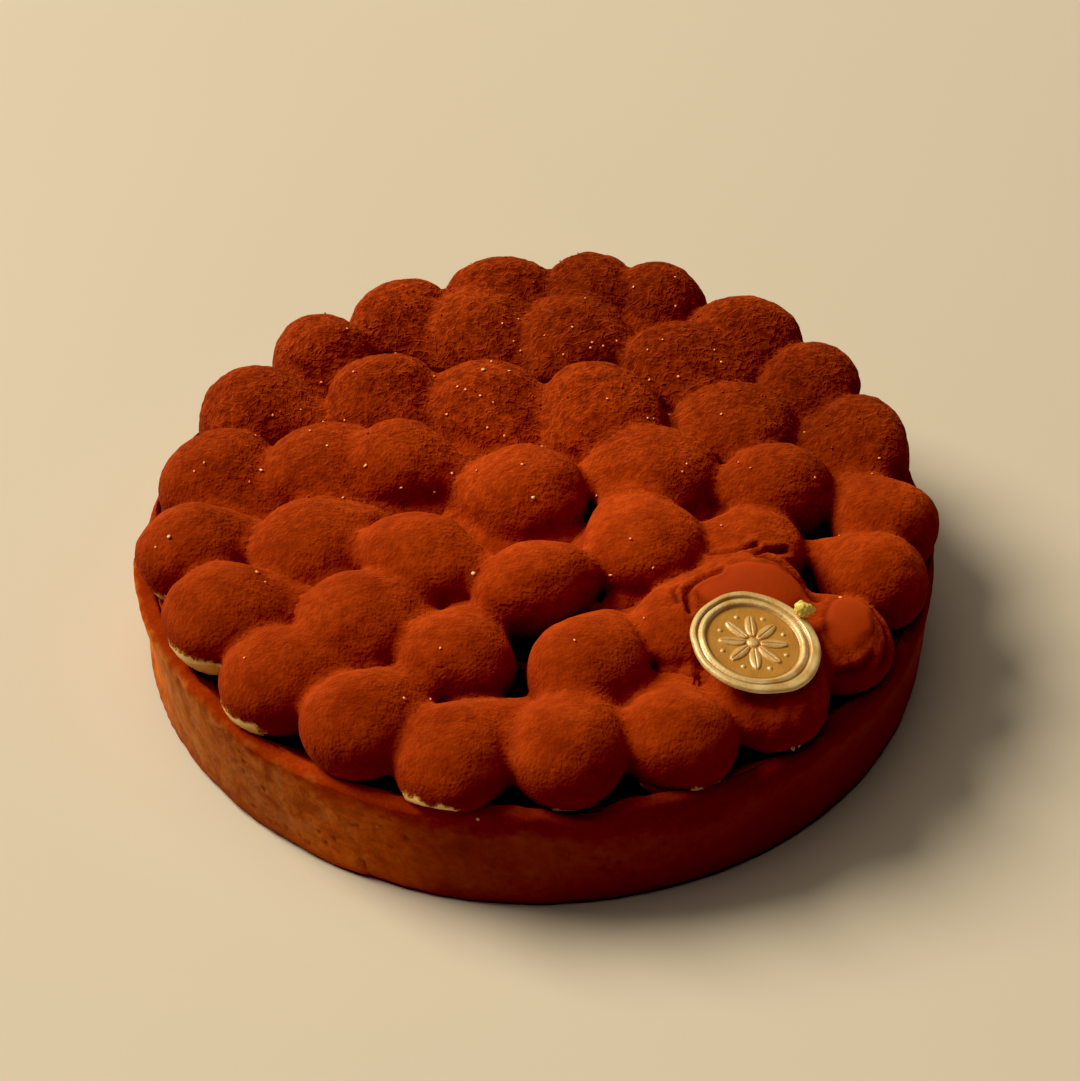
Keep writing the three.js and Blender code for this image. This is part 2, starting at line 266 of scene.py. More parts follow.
def cocoa_material():
    """Cream under cocoa powder. Attributes of the mesh: bare, where the powder is missing and ivory cream shows;
    worn, where the powder is rubbed smooth and moist; thin, on steep sides, darker for less powder and as painted
    shade."""
    m, nt, bs = principled("cocoa_on_cream")
    g = Graph(nt)
    bare, worn, thin_powder_and_shade, painted_cavity_shade = (g.attribute(k) for k in ("bare", "worn", "thin_powder_and_shade", "painted_cavity_shade"))
    rugged, painted_light_and_shade = g.attribute("rugged"), g.attribute("painted_light_and_shade")
    patch = g.noise(12, 3, 0.5)
    soft = g.noise(3.2, 2, 0.5)
    grain = g.noise(0.9, 2, 0.5)
    # powder caked in short winding ridges where it lies heavy
    winding = g.math("ABSOLUTE", g.math("SUBTRACT", g.noise(3.0, 1, 0.5, 0.5), 0.5))
    ridge = g.span(winding, 0.085, 0.0)
    clump = g.noise(1.8, 2, 0.5, 0.2)
    powder = g.ramp(patch, (0.30, (0.325, 0.0375, 0.0032)), (0.52, (0.405, 0.0490, 0.0042)), (0.75, (0.460, 0.0605, 0.0054)))
    # steep sides: darker for less powder, and darker again as painted shade
    steep = (0.250, 0.0235, 0.0032)
    col = g.mix(g.math("MULTIPLY", thin_powder_and_shade, 0.85), powder, steep)
    col = g.mix(g.span(soft, 0.60, 0.38, 0.0, 0.34), col, (0.200, 0.0190, 0.0018))
    # painted shade in the dips between clumps of powder, where the same noise lowers the bump
    col = g.mix(g.math("MULTIPLY", g.span(clump, 0.58, 0.40), g.math("ADD", 0.05, g.math("MULTIPLY", rugged, 0.36))), col, (0.085, 0.0070, 0.0007))
    col = g.mix(g.math("MULTIPLY", ridge, g.math("MULTIPLY", rugged, 0.30)), col, (0.520, 0.0780, 0.0100))
    # painted shade: darker in the dips of the powder relief, along the folds and in the open hollows between drops
    col = g.mix(g.math("MULTIPLY", painted_cavity_shade, 0.75), col, (0.070, 0.0040, 0.0006))
    col = g.mix(g.math("MULTIPLY", worn, 0.85), col, (0.430, 0.0500, 0.0060))
    # painted light and shade across the whole tart, from a mesh attribute
    col = g.scale(col, painted_light_and_shade)
    edge = g.math("ADD", bare, g.math("MULTIPLY", g.math("SUBTRACT", g.noise(1.6, 4, 0.65), 0.5), 1.35))
    col = g.mix(g.span(edge, 0.26, 0.52), col, (0.400, 0.1300, 0.0120))
    cream_mask = g.span(edge, 0.42, 0.74)
    cream = g.mix(g.noise(2.2, 3), (0.82, 0.42, 0.065), (1.00, 0.70, 0.200))
    col = g.mix(cream_mask, col, cream)
    g.put(bs.inputs["Base Color"], col)
    rough = g.mix(cream_mask, g.ramp(worn, (0.0, 0.98), (1.0, 0.84)), (0.22, 0.22, 0.22))
    g.put(bs.inputs["Roughness"], rough)
    g.put(bs.inputs["Specular IOR Level"], g.math("ADD", 0.06, g.math("MULTIPLY", cream_mask, 0.50)))
    if "Diffuse Roughness" in bs.inputs:
        bs.inputs["Diffuse Roughness"].default_value = 0.9
    bs.inputs["Sheen Weight"].default_value = 0.04
    bs.inputs["Sheen Roughness"].default_value = 0.5
    bs.inputs["Sheen Tint"].default_value = (1.0, 0.30, 0.06, 1)
    calm = g.math("SUBTRACT", 1.0, g.math("MULTIPLY", g.math("MAXIMUM", worn, cream_mask), 0.85))
    h = g.math("MULTIPLY", ridge, g.math("MULTIPLY", rugged, 0.40))
    h = g.math("ADD", h, g.math("MULTIPLY", clump, g.math("ADD", 0.55, g.math("MULTIPLY", rugged, 0.6))))
    h = g.math("ADD", h, g.math("MULTIPLY", grain, 0.55))
    g.put(bs.inputs["Normal"], g.bump(g.math("MULTIPLY", h, calm), 0.6))
    return m


def crust_material():
    """Baked cocoa-brown shortcrust. Attributes: dust, powder on the edge; toast, darker baking in random places,
    darker towards the foot and painted shade on the right side; pits, painted dark as shade; glow, paler places
    and painted light on the left front; amber, painted light on the far left; flush, a patch of painted light
    on the left front.
    """
    m, nt, bs = principled("baked_crust")
    g = Graph(nt)
    dust, toast_and_shade, pits_with_painted_shade, pale_and_painted_light, painted_light_amber, painted_light_patch = (g.attribute(k) for k in ("dust", "toast_and_shade", "pits_with_painted_shade", "pale_and_painted_light", "painted_light_amber", "painted_light_patch"))
    blotch = g.noise(17, 2, 0.5, 0.4)
    cloud = g.noise(7.0, 3, 0.55, 0.5)
    mottle = g.noise(2.6, 3, 0.55, 0.3)
    grain = g.noise(0.8, 2, 0.5)
    side = g.ramp(blotch, (0.30, (0.310, 0.047, 0.0032)), (0.50, (0.375, 0.062, 0.0042)), (0.70, (0.430, 0.084, 0.0056)))
    pale = g.ramp(cloud, (0.36, (0.360, 0.084, 0.0060)), (0.50, (0.440, 0.118, 0.0110)), (0.62, (0.480, 0.160, 0.0330)))
    # paler in places, and painted light on the left front side
    side = g.mix(g.math("MULTIPLY", pale_and_painted_light, 0.90), side, pale)
    # painted light: bright orange on the far left side
    side = g.mix(g.math("MULTIPLY", painted_light_amber, 0.90), side, g.ramp(cloud, (0.36, (0.560, 0.104, 0.0010)), (0.62, (0.680, 0.150, 0.0040))))
    side = g.mix(g.span(cloud, 0.48, 0.34, 0.0, 0.35), side, (0.190, 0.032, 0.0050))
    side = g.mix(g.span(mottle, 0.58, 0.40, 0.0, 0.32), side, (0.150, 0.028, 0.0040))
    side = g.mix(g.math("MULTIPLY", g.span(g.noise(4.5, 3, 0.6, 0.8), 0.56, 0.70), g.math("SUBTRACT", 0.5, g.math("MULTIPLY", toast_and_shade, 0.35))), side, (0.430, 0.130, 0.0130))
    # painted shade in the small hollows, the crease and the crack
    side = g.mix(g.math("MULTIPLY", pits_with_painted_shade, 0.70), side, (0.090, 0.0180, 0.0030))
    # darker where baked darker, and painted shade on the right side
    side = g.mix(g.math("MULTIPLY", toast_and_shade, 0.78), side, (0.215, 0.034, 0.0034))
    # painted light: brighter on the left front patch
    side = g.scale(side, g.math("ADD", 1.0, g.math("MULTIPLY", painted_light_patch, 0.50)))
    side = g.mix(g.span(grain, 0.60, 0.38, 0.0, 0.10), side, (0.120, 0.026, 0.0050))
    fray = g.math("ADD", dust, g.math("MULTIPLY", g.math("SUBTRACT", g.noise(3.2, 3, 0.6), 0.5), 0.95))
    mask = g.span(fray, 0.16, 0.86)
    cocoa = g.mix(g.span(g.noise(1.0, 3, 0.6), 0.60, 0.40, 0.0, 0.40), (0.345, 0.0390, 0.0040), (0.215, 0.0215, 0.0020))
    # the powder on the top gets the same painted shade on the right side
    cocoa = g.scale(cocoa, g.math("SUBTRACT", 1.0, g.math("MULTIPLY", toast_and_shade, 0.40)))
    # painted light: the powder brighter on the same patch, a little darker elsewhere
    cocoa = g.scale(cocoa, g.math("ADD", 0.90, g.math("MULTIPLY", painted_light_patch, 0.30)))
    g.put(bs.inputs["Base Color"], g.mix(mask, side, cocoa))
    g.put(bs.inputs["Roughness"], g.mix(mask, g.ramp(mottle, (0.3, 0.50), (0.7, 0.66)), (0.96, 0.96, 0.96)))
    bs.inputs["Specular IOR Level"].default_value = 0.03
    if "Diffuse Roughness" in bs.inputs:
        bs.inputs["Diffuse Roughness"].default_value = 0.4
    h = g.math("ADD", g.math("MULTIPLY", grain, 0.6), g.math("MULTIPLY", mottle, 0.5))
    g.put(bs.inputs["Normal"], g.bump(h, 0.20))
    return m


def bed_material():
    m, nt, bs = principled("dark_bed")
    g = Graph(nt)
    n = g.noise(1.4, 4, 0.6)
    # painted shade: the bare bed is near black so the gaps between drops read as shadow; the powdered bank by the wall
    # is powder
    dark = g.ramp(n, (0.35, (0.060, 0.0070, 0.0008)), (0.65, (0.150, 0.0180, 0.0020)))
    powdered = g.ramp(n, (0.35, (0.230, 0.0260, 0.0030)), (0.65, (0.370, 0.0500, 0.0062)))
    g.put(bs.inputs["Base Color"], g.mix(g.attribute("bank"), dark, powdered))
    g.put(bs.inputs["Roughness"], g.ramp(n, (0.3, 0.85), (0.7, 0.98)))
    bs.inputs["Specular IOR Level"].default_value = 0.05
    g.put(bs.inputs["Normal"], g.bump(n, 0.3))
    return m


def seal_material():
    m, nt, bs = principled("gold_lustre")
    g = Graph(nt)
    pale_rings_and_highlight, groove = g.attribute("pale_rings_and_highlight"), g.attribute("groove")
    cloud = g.noise(6, 3, 0.55)
    fine = g.noise(0.5, 3, 0.6)
    low = g.ramp(cloud, (0.3, (0.50, 0.215, 0.024)), (0.7, (0.62, 0.290, 0.040)))
    high = g.ramp(cloud, (0.3, (0.64, 0.370, 0.090)), (0.7, (0.94, 0.730, 0.330)))
    # paler gold on the rings and the raised flower, brightened as a painted highlight
    col = g.mix(pale_rings_and_highlight, low, high)
    # painted shade in the grooves, at the foot of the inner ring and down the middle of each petal
    col = g.mix(g.math("MULTIPLY", groove, 0.75), col, (0.27, 0.115, 0.022))
    g.put(bs.inputs["Base Color"], col)
    bs.inputs["Metallic"].default_value = 0.25
    g.put(bs.inputs["Roughness"], g.ramp(g.noise(2.5, 3), (0.3, 0.36), (0.7, 0.50)))
    bs.inputs["Specular IOR Level"].default_value = 0.5
    bs.inputs["Coat Weight"].default_value = 0.6
    bs.inputs["Coat Roughness"].default_value = 0.18
    g.put(bs.inputs["Normal"], g.bump(g.math("ADD", fine, g.math("MULTIPLY", g.noise(3.0, 3), 1.2)), 0.12))
    return m


def leaf_material(name, tint, metal=0.9):
    m, nt, bs = principled(name)
    g = Graph(nt)
    n = g.noise(0.8, 3)
    g.put(bs.inputs["Base Color"], g.ramp(n, (0.3, tuple(c * 0.82 for c in tint)), (0.7, tint)))
    bs.inputs["Metallic"].default_value = metal
    g.put(bs.inputs["Roughness"], g.ramp(n, (0.3, 0.18), (0.7, 0.36)))
    g.put(bs.inputs["Normal"], g.bump(g.noise(0.35, 3), 0.12))
    return m


def speck_material():
    """Flakes of gold lustre, pale ones and deeper ones."""
    m, nt, bs = principled("gold_speck")
    g = Graph(nt)
    g.put(bs.inputs["Base Color"], g.ramp(g.noise(5.0, 1), (0.46, (1.0, 0.30, 0.05)), (0.66, (1.0, 0.62, 0.26))))
    bs.inputs["Metallic"].default_value = 0.0
    bs.inputs["Roughness"].default_value = 0.30
    bs.inputs["Specular IOR Level"].default_value = 0.8
    return m


def crumb_material(name, dark, light, rough):
    m, nt, bs = principled(name)
    g = Graph(nt)
    n = g.noise(0.6, 3)
    g.put(bs.inputs["Base Color"], g.ramp(n, (0.35, dark), (0.65, light)))
    bs.inputs["Roughness"].default_value = rough
    bs.inputs["Specular IOR Level"].default_value = 0.1
    g.put(bs.inputs["Normal"], g.bump(n, 0.2))
    return m


def floor_material():
    m, nt, bs = principled("studio_floor")
    g = Graph(nt)
    n = g.noise(400, 2, 0.4)
    g.put(bs.inputs["Base Color"], g.ramp(n, (0.3, (0.560, 0.475, 0.335)), (0.7, (0.580, 0.495, 0.355))))
    bs.inputs["Roughness"].default_value = 0.75
    bs.inputs["Specular IOR Level"].default_value = 0.2
    return m


COCOA = cocoa_material()
CRUST = crust_material()
BEDM = bed_material()
SEALM = seal_material()
LEAF = leaf_material("gold_leaf", (0.94, 0.72, 0.14), 0.10)
SPECK = speck_material()
CRUMB = crumb_material("cream_crumb", (0.45, 0.22, 0.07), (0.70, 0.44, 0.18), 0.5)
GRAIN = crumb_material("cocoa_grain", (0.30, 0.035, 0.005), (0.52, 0.085, 0.013), 0.95)

# ---------------------------------------------------------------- piped drops
rng = np.random.default_rng(41)


class Drop:
    def __init__(self, name, row, index):
        angle, reach, z, turn, self.head, self.tail, self.half, self.crown = row
        a = math.radians(angle)
        self.name, self.index = name, index
        self.c = np.array([reach * math.cos(a), reach * math.sin(a), z])
        h = a + math.radians(turn)
        self.fore = np.array([math.cos(h), math.sin(h), 0.0])
        self.side = np.array([-math.sin(h), math.cos(h), 0.0])
        self.narrows, self.sinks = (0.42, 0.6) if self.tail > 23 else (0.25, 0.25)
        self.outer = name.startswith("dome_outer")
        self.depth = 14.5 if self.outer else 17.0
        self.k = rng.normal(size=(4, 3)) * np.array([[1.6], [1.6], [2.6], [2.6]])
        self.ph = rng.uniform(0, 2 * math.pi, 4)
        self.amp = np.array([0.020, 0.020, 0.012, 0.012])

    def reach(self, U):
        """Distance from the centre to the skin along unit directions U."""
        x, y, z = U @ self.fore, U @ self.side, U[:, 2]
        long = np.where(x > 0, self.head, self.tail)
        ax = x / long
        R = np.full(len(U), 14.0)
        for _ in range(5):
            run = sstep(-ax * R)
            b = y / (self.half * (1 - self.narrows * run))
            c = np.where(z > 0, z / (self.crown * (1 - self.sinks * run)), z / self.depth)
            R = 1 / np.sqrt(ax * ax + b * b + c * c)
        lump = sum(a * np.sin(U @ k + p) for a, k, p in zip(self.amp, self.k, self.ph))
        return R * (1 + lump)

    def gap(self, P):
        """Signed distance from the skin along the ray from the centre, in millimetres."""
        V = P - self.c
        r = np.linalg.norm(V, axis=1) + 1e-9
        return r - self.reach(V / r[:, None])

    def tailward(self, P):
        """0 about the head, 1 at the tail."""
        return sstep(-((P - self.c) @ self.fore) / self.tail, -0.35, 0.6)


drops = []
for ring, rows in RINGS.items():
    for i, row in enumerate(rows):
        drops.append(Drop(f"{ring}_{i + 1:02d}" if len(rows) > 1 else ring, row, len(drops)))


def seal_axes():
    lean, way = math.radians(SEAL["lean"]), math.radians(SEAL["towards"])
    up = np.array([math.sin(lean) * math.cos(way), math.sin(lean) * math.sin(way), math.cos(lean)])
    heading = math.radians(SEAL["heading"])
    flat = np.array([math.cos(heading), math.sin(heading), 0.0])
    fore = flat - up * np.dot(flat, up)
    fore /= np.linalg.norm(fore)
    return up, fore, np.cross(up, fore), np.array([SEAL["x"], SEAL["y"], SEAL["z"]])


SUP, SFORE, SSIDE, SC = seal_axes()
STAMP_OFF = (float(np.dot([-0.62, 0.10, 0.0], SFORE)), float(np.dot([-0.62, 0.10, 0.0], SSIDE)))


# pairs of drops that stay further apart than the rest (below 1), or have run together (above 1)
MELTED = {
    (2, 22): 1.4, (2, 23): 1.8, (4, 5): 0.6, (8, 9): 0.4, (9, 10): 0.6, (9, 27): 1.4, (9, 28): 1.3, (10, 11): 0.7,
    (11, 12): 0.6, (12, 13): 0.4, (15, 16): 0.6, (15, 31): 1.6, (20, 34): 1.4, (21, 22): 0.7, (22, 41): 0.8,
    (24, 25): 0.7, (26, 27): 1.4, (27, 28): 1.3, (28, 38): 1.5, (31, 32): 0.7, (31, 37): 1.4, (32, 33): 0.7,
    (32, 36): 1.4, (33, 34): 1.4, (33, 35): 1.4, (33, 36): 1.4, (34, 35): 0.7, (37, 38): 1.4, (39, 40): 1.5,
    (40, 41): 0.7, (41, 42): 0.7,
}


PAIR = np.ones((len(drops), len(drops)))
for (_a, _b), _v in MELTED.items():
    PAIR[_a, _b] = PAIR[_b, _a] = _v


# cream that has settled between the drops: its height by distance from the middle, and open places in it
MAT = ([0, 38, 50, 66, 80, 90], [43.8, 43.2, 41.0, 38.5, 35.0, 24.0])
OPEN = [(13.3, -31, 4.2, 13), (6.6, -39, 4.2, 13), (-1.5, -47, 4.2, 13), (-5.3, -60, 4.2, 13), (-10, -68, 4.2, 13), (-18, -71, 4, 10),
        (8, -3.3, 4.6, 12), (15, 3.4, 4, 9), (76, -1, 5, 12), (37.6, -22.6, 4.6, 12), (25.7, -66.6, 4.8, 13), (73.5, -28, 4.6, 12),
        (46.4, 6.8, 4.6, 10), (-24.6, -34.6, 4.2, 11), (-41.4, -58, 4.2, 11), (73, 32.6, 3.6, 8), (58, 62, 3.5, 6), (-11, 35, 3.5, 5),
        (40.6, -67.9, 3.6, -7)]      # the last one is filled up instead


def settled(P):
    """Height above the cream between the drops."""
    x, y = P[:, 0], P[:, 1]
    top = np.interp(np.hypot(x, y), *MAT) + 0.9 * noise(P * np.array([1, 1, 0]), 14, 95)
    top = top - 3.5 * sstep(y, 15, 60)
    for ox, oy, spread, deep in OPEN:
        top = top - deep * np.exp(-((x - ox) ** 2 + (y - oy) ** 2) / (2 * spread ** 2))
    return 0.9 * (P[:, 2] - top)


def union(group, P):
    """Signed distance from the drops run together with fillets, and from each drop alone.
    Drops melt together most between their tails and least between their heads."""
    D = np.stack([d.gap(P) for d in group])
    T = np.stack([d.tailward(P) for d in group])
    ids = np.array([d.index for d in group])
    c, cols = D.argmin(0), np.arange(len(P))
    dc, tc = D[c, cols], T[c, cols]
    K = PAIR[ids[c]][:, ids].T * (MELT[0] + MELT[1] * (T + tc) / 2 + MELT[2] * np.sqrt(T * tc)
                                  + MELT[3] * sstep(P[:, 1], -60, 60))
    H = np.maximum(K - (D - dc), 0) ** 2 / (4 * K)
    H[c, cols] = 0
    skin, mat, k = dc - np.cbrt((H ** 3).sum(0)), settled(P), 4.5
    return np.minimum(skin, mat) - np.maximum(k - np.abs(skin - mat), 0) ** 2 / (4 * k), D, dc


MELT = (2.7, 1.3, 1.0, -0.4)
OVERLAP = 1.6


def field(drop, near, P):
    """Below zero inside the drop. It follows the common surface a little way past each seam, then dives."""
    f, D, dc = union([drop] + near, P)
    past = np.maximum(D[0] - dc, 0)
    f = f + 0.06 * np.minimum(past, OVERLAP) ** 2 + np.maximum(past - OVERLAP, 0) * 1.2
    # the bed and the crust below and around, and the seal on top
    r = np.hypot(P[:, 0], P[:, 1])
    f = np.maximum(f, BED - 0.2 + BANK_SLOPE * np.maximum(r - BANK_R, 0) - P[:, 2])
    wall = np.minimum(r - (RIM_R - WALL - 0.3), (CRUST_H + 0.15) - P[:, 2])
    f = np.maximum(f, np.where(wall > 0, np.minimum(wall, 6), -1))
    S = P - SC
    hs = S @ SUP
    rs = np.linalg.norm(S - hs[:, None] * SUP, axis=1)
    press = hs + SEAL["edge"] + 0.05 - 1.8 * np.maximum(rs - SEAL["radius"] - 0.3, 0)
    return np.maximum(f, np.where(np.abs(rs) < SEAL["radius"] + 8, press, -1))


def drop_grid(n):
    """Unit directions on a folded square: its middle is the crown, its border a ring low under the drop."""
    t = np.linspace(-1, 1, n)
    A, B = np.meshgrid(t, t, indexing="ij")
    A, B = A.ravel(), B.ravel()
    big = np.abs(A) > np.abs(B)
    r = np.where(big, np.abs(A), np.abs(B))
    with np.errstate(divide="ignore", invalid="ignore"):
        phi = np.where(big, np.where(A > 0, 0, np.pi) + (np.pi / 4) * (B / A),
                       np.where(B > 0, np.pi / 2, 3 * np.pi / 2) - (np.pi / 4) * (A / B))
    phi = np.where(r == 0, 0, phi)
    th = np.radians(np.where(r < 0.84, r / 0.84 * 108, 108 + (r - 0.84) / 0.16 * 44))
    U = np.stack([np.sin(th) * np.cos(phi), np.sin(th) * np.sin(phi), np.cos(th)], -1)
    idx = np.arange(n * n).reshape(n, n)
    quads = np.stack([idx[:-1, :-1], idx[1:, :-1], idx[1:, 1:], idx[:-1, 1:]], -1).reshape(-1, 4)
    border = np.concatenate([idx[0, :-1], idx[:-1, -1], idx[-1, :0:-1], idx[:0:-1, 0]])
    return U, quads, border


N_DROP = 92
U0, QUADS, BORDER = drop_grid(N_DROP)


# places smoothed by a fingertip or knife: x, y, half spans, turn in degrees, how proud they stand
SMOOTHED = [(56.3, -46.0, 14.4, 7.2, -4, 0.55), (81.3, -54.6, 5.6, 8.6, -14, 0.6)]
# folds and cracks in the powdered skin, each also painted dark along its course as shade: width, depth, course
FOLDS = [
    (0.95, 1.60, [(47.6, -28.6), (50.6, -29.8), (53.6, -29.8), (56.0, -28.2), (58.2, -27.2)]),
    (0.95, 1.60, [(56.6, -31.7), (61.6, -29.2), (66.6, -27.0)]),
    (1.05, 1.70, [(39.6, -54.0), (39.4, -47.8), (40.6, -43.8), (42.8, -41.2), (45.4, -40.0), (48.6, -39.8)]),
    (0.70, 0.60, [(36.8, -51.6), (36.2, -47.2), (37.3, -44.0)]),
    (1.80, 1.40, [(59.5, -33.4), (65.0, -35.6), (69.6, -39.4), (73.4, -45.4)]),
    (0.70, 0.70, [(77.3, -67.6), (82.5, -67.2), (87.2, -63.1)]),
    (0.60, 0.60, [(88.2, -48.5), (91.2, -53.0), (91.6, -58.1), (89.0, -64.0)]),
    (0.55, 0.50, [(80.0, -71.6), (85.2, -70.4), (89.4, -67.0)]),
]


def course(P, points):
    """Distance in plan from a line through some points."""
    best = np.full(len(P), 1e9)
    for (x0, y0), (x1, y1) in zip(points[:-1], points[1:]):
        dx, dy = x1 - x0, y1 - y0
        t = np.clip(((P[:, 0] - x0) * dx + (P[:, 1] - y0) * dy) / (dx * dx + dy * dy), 0, 1)
        best = np.minimum(best, np.hypot(P[:, 0] - x0 - t * dx, P[:, 1] - y0 - t * dy))
    return best


def marks(P, nz):
    """Relief, smoothness and painted shade from the handled places round the seal."""
    up = sstep(nz, -0.05, 0.35)
    wob = P + np.stack([0.7 * noise(P, 4.5, 91), 0.7 * noise(P, 4.5, 92), 0 * nz], -1)
    add, worn, dark = np.zeros(len(P)), np.zeros(len(P)), np.zeros(len(P))
    for x, y, a, b, turn, proud in SMOOTHED:
        c, s = math.cos(math.radians(turn)), math.sin(math.radians(turn))
        u, v = (wob[:, 0] - x) * c + (wob[:, 1] - y) * s, -(wob[:, 0] - x) * s + (wob[:, 1] - y) * c
        e = np.hypot(u / a, v / b)
        add += proud * sstep(e, 1.16, 0.80) * up
        worn = np.maximum(worn, sstep(e, 1.16, 0.90) * up)
        # painted shade in a narrow line round the edge of each smoothed place
        dark = np.maximum(dark, 0.45 * np.exp(-((e - 1.12) / 0.09) ** 2) * up)
    for width, depth, points in FOLDS:
        d = course(wob, points) / width
        add -= depth * np.exp(-d * d) * up
        add += 0.25 * depth * np.exp(-((d - 1.9) / 0.9) ** 2) * up
        # painted shade along each fold and crack
        dark = np.maximum(dark, np.exp(-(d * 1.1) ** 2) * up)
    return add, worn, dark


# outer drops with a lip of bare cream: direction it faces, half its spread, and the slopes
# between which it ends
LIPS = {
    17: (-112, 24, -0.42, -0.22), 18: (-112, 36, -0.20, 0.08), 19: (-132, 28, -0.26, 0.00), 0: (-114, 28, -0.14, 0.10),
    1: (-78, 26, -0.60, -0.40), 2: (-86, 40, -0.36, -0.16), 3: (-72, 22, -0.60, -0.40),
}


def build_drop(drop):
    near = [d for d in drops if d is not drop and np.linalg.norm(d.c - drop.c) < 47]
    M = np.stack([drop.fore, drop.side, [0, 0, 1.0]])
    U = U0 @ M
    lo = np.full(len(U), 1.0)
    hi = np.full(len(U), 34.0)
    # march outwards for the first crossing, then bisect it
    steps = np.linspace(2, 33, 22)
    done = np.zeros(len(U), bool)
    last = np.full(len(U), 1.0)
    for s in steps:
        todo = ~done
        if not todo.any():
            break
        f = field(drop, near, drop.c + U[todo] * s)
        ids = np.nonzero(todo)[0]
        out = ids[f > 0]
        hi[out] = s; lo[out] = last[out]; done[out] = True
        last[ids[f <= 0]] = s
    for _ in range(11):
        mid = (lo + hi) / 2
        f = field(drop, near, drop.c + U * mid[:, None])
        lo = np.where(f <= 0, mid, lo); hi = np.where(f > 0, mid, hi)
    T = (lo + hi) / 2
    P = drop.c + U * T[:, None]
    # surface normal, the same for two drops where they share the surface
    group = [drop] + near
    base = union(group, P)[0]
    Nn = np.stack([union(group, P + step)[0] - base for step in np.eye(3) * 0.15], -1)
    Nn /= np.linalg.norm(Nn, axis=1, keepdims=True) + 1e-9
    nz = Nn[:, 2]
    # how rugged the powder lies: heavy and wrinkled at the back, velvety in front
    back = sstep(P[:, 1], -45, 65)
    rugged = np.clip(0.03 + 0.90 * back + 0.12 * noise(P, 30, 5), 0, 1)
    soft = fbm(P, 5.5, 2, 3)
    wr = fbm(P, 2.8, 2, 11, 0.45)
    relief = 0.20 * soft + (0.05 + 0.19 * rugged) * wr
    free = sstep(P[:, 2], BED + 0.6, BED + 3.0)
    extra, worn, dark = marks(P, nz)
    if drop.index == 3:
        # soft upright pleats down the near flank beside the seal
        extra = extra + 0.45 * noise(P * np.array([1, 0.22, 0.22]), 3.0, 93) * sstep(-Nn[:, 1], 0.2, 0.6)
    relief = relief * free * (1 - 0.85 * worn) + extra * free
    # painted shade in the dips of the relief noise, joined with the painted shade along the folds
    painted_cavity_shade = np.maximum(np.clip(-wr * 1.6, 0, 1) * (0.1 + 0.45 * rugged) * (1 - worn), dark)
    # painted shade in the open places between the drops, low down and on the steeper slopes
    hollow_shade = sum(np.exp(-((P[:, 0] - x) ** 2 + (P[:, 1] - y) ** 2) / (2.4 * w ** 2)) for x, y, w, deep in OPEN if deep > 0)
    painted_cavity_shade = np.maximum(painted_cavity_shade, np.clip(1.25 * hollow_shade, 0, 1) * sstep(P[:, 2], 49, 40) * sstep(nz, 1.0, 0.3))
    bare = np.zeros(len(P))
    if drop.index in LIPS:
        # the powder fell from above, so a lip tucked under the near side stayed clean
        towards, half, low, high = LIPS[drop.index]
        way = (np.degrees(np.arctan2(Nn[:, 1], Nn[:, 0])) - towards + 180) % 360 - 180
        place = (np.degrees(np.arctan2(P[:, 1] - drop.c[1], P[:, 0] - drop.c[0])) - towards + 180) % 360 - 180
        bare = sstep(nz + 0.10 * noise(P, 3.5, 94), high, low) * sstep(np.abs(way), half + 14, half - 6)
        bare = bare * sstep(np.abs(place), half + 16, half + 4)
        relief = relief + 0.35 * sstep(bare, 0.35, 0.65)
    P = P + Nn * relief[:, None]
    # darker on steep sides: less powder there, and painted shade
    thin_powder_and_shade = sstep(nz, 0.72, 0.02)
    # painted light and shade: lighter in the middle and at the back left, darker at the back and the far right
    painted_light_and_shade = np.ones(len(P))
    for x, y, spread, more in ((0, -10, 38, 0.26), (16, 84, 26, -0.30), (76, 34, 24, -0.36), (-30, 88, 20, 0.14)):
        painted_light_and_shade += more * np.exp(-((P[:, 0] - x) ** 2 + (P[:, 1] - y) ** 2) / (2 * spread ** 2))
    verts = np.vstack([P, [[drop.c[0], drop.c[1], BED - 0.2]]])
    b2 = np.roll(BORDER, -1)
    fan = np.stack([BORDER, b2, np.full(len(BORDER), len(P))], -1)
    at = {k: np.append(v, 0) for k, v in dict(bare=bare, worn=worn, thin_powder_and_shade=thin_powder_and_shade, painted_cavity_shade=np.clip(painted_cavity_shade, 0, 1), rugged=rugged, painted_light_and_shade=painted_light_and_shade).items()}
    return verts, QUADS, fan, at


def outward(verts, quads, fan):
    """Flips the faces if they point inwards."""
    a, b, c = verts[quads[:, 0]], verts[quads[:, 1]], verts[quads[:, 2]]
    vol = np.einsum("ij,ij->i", a, np.cross(b, c)).sum()
    mid = verts.mean(0)
    vol = np.einsum("ij,ij->i", a - mid, np.cross(b - mid, c - mid)).sum()
    if vol < 0:
        quads = quads[:, ::-1]
    x, y, z = verts[fan[0, 0]], verts[fan[0, 1]], verts[fan[0, 2]]
    if np.dot(np.cross(y - x, z - x), [0, 0, -1]) < 0:
        fan = fan[:, ::-1]
    return quads, fan


for drop in drops:
    verts, quads, fan, at = build_drop(drop)
    quads, fan = outward(verts, quads, fan)
    make_piece(drop.name.replace("dome", "cream"), verts, [quads, fan], COCOA, [drop.name], at)

# ---------------------------------------------------------------- crust
N_RIM = 740


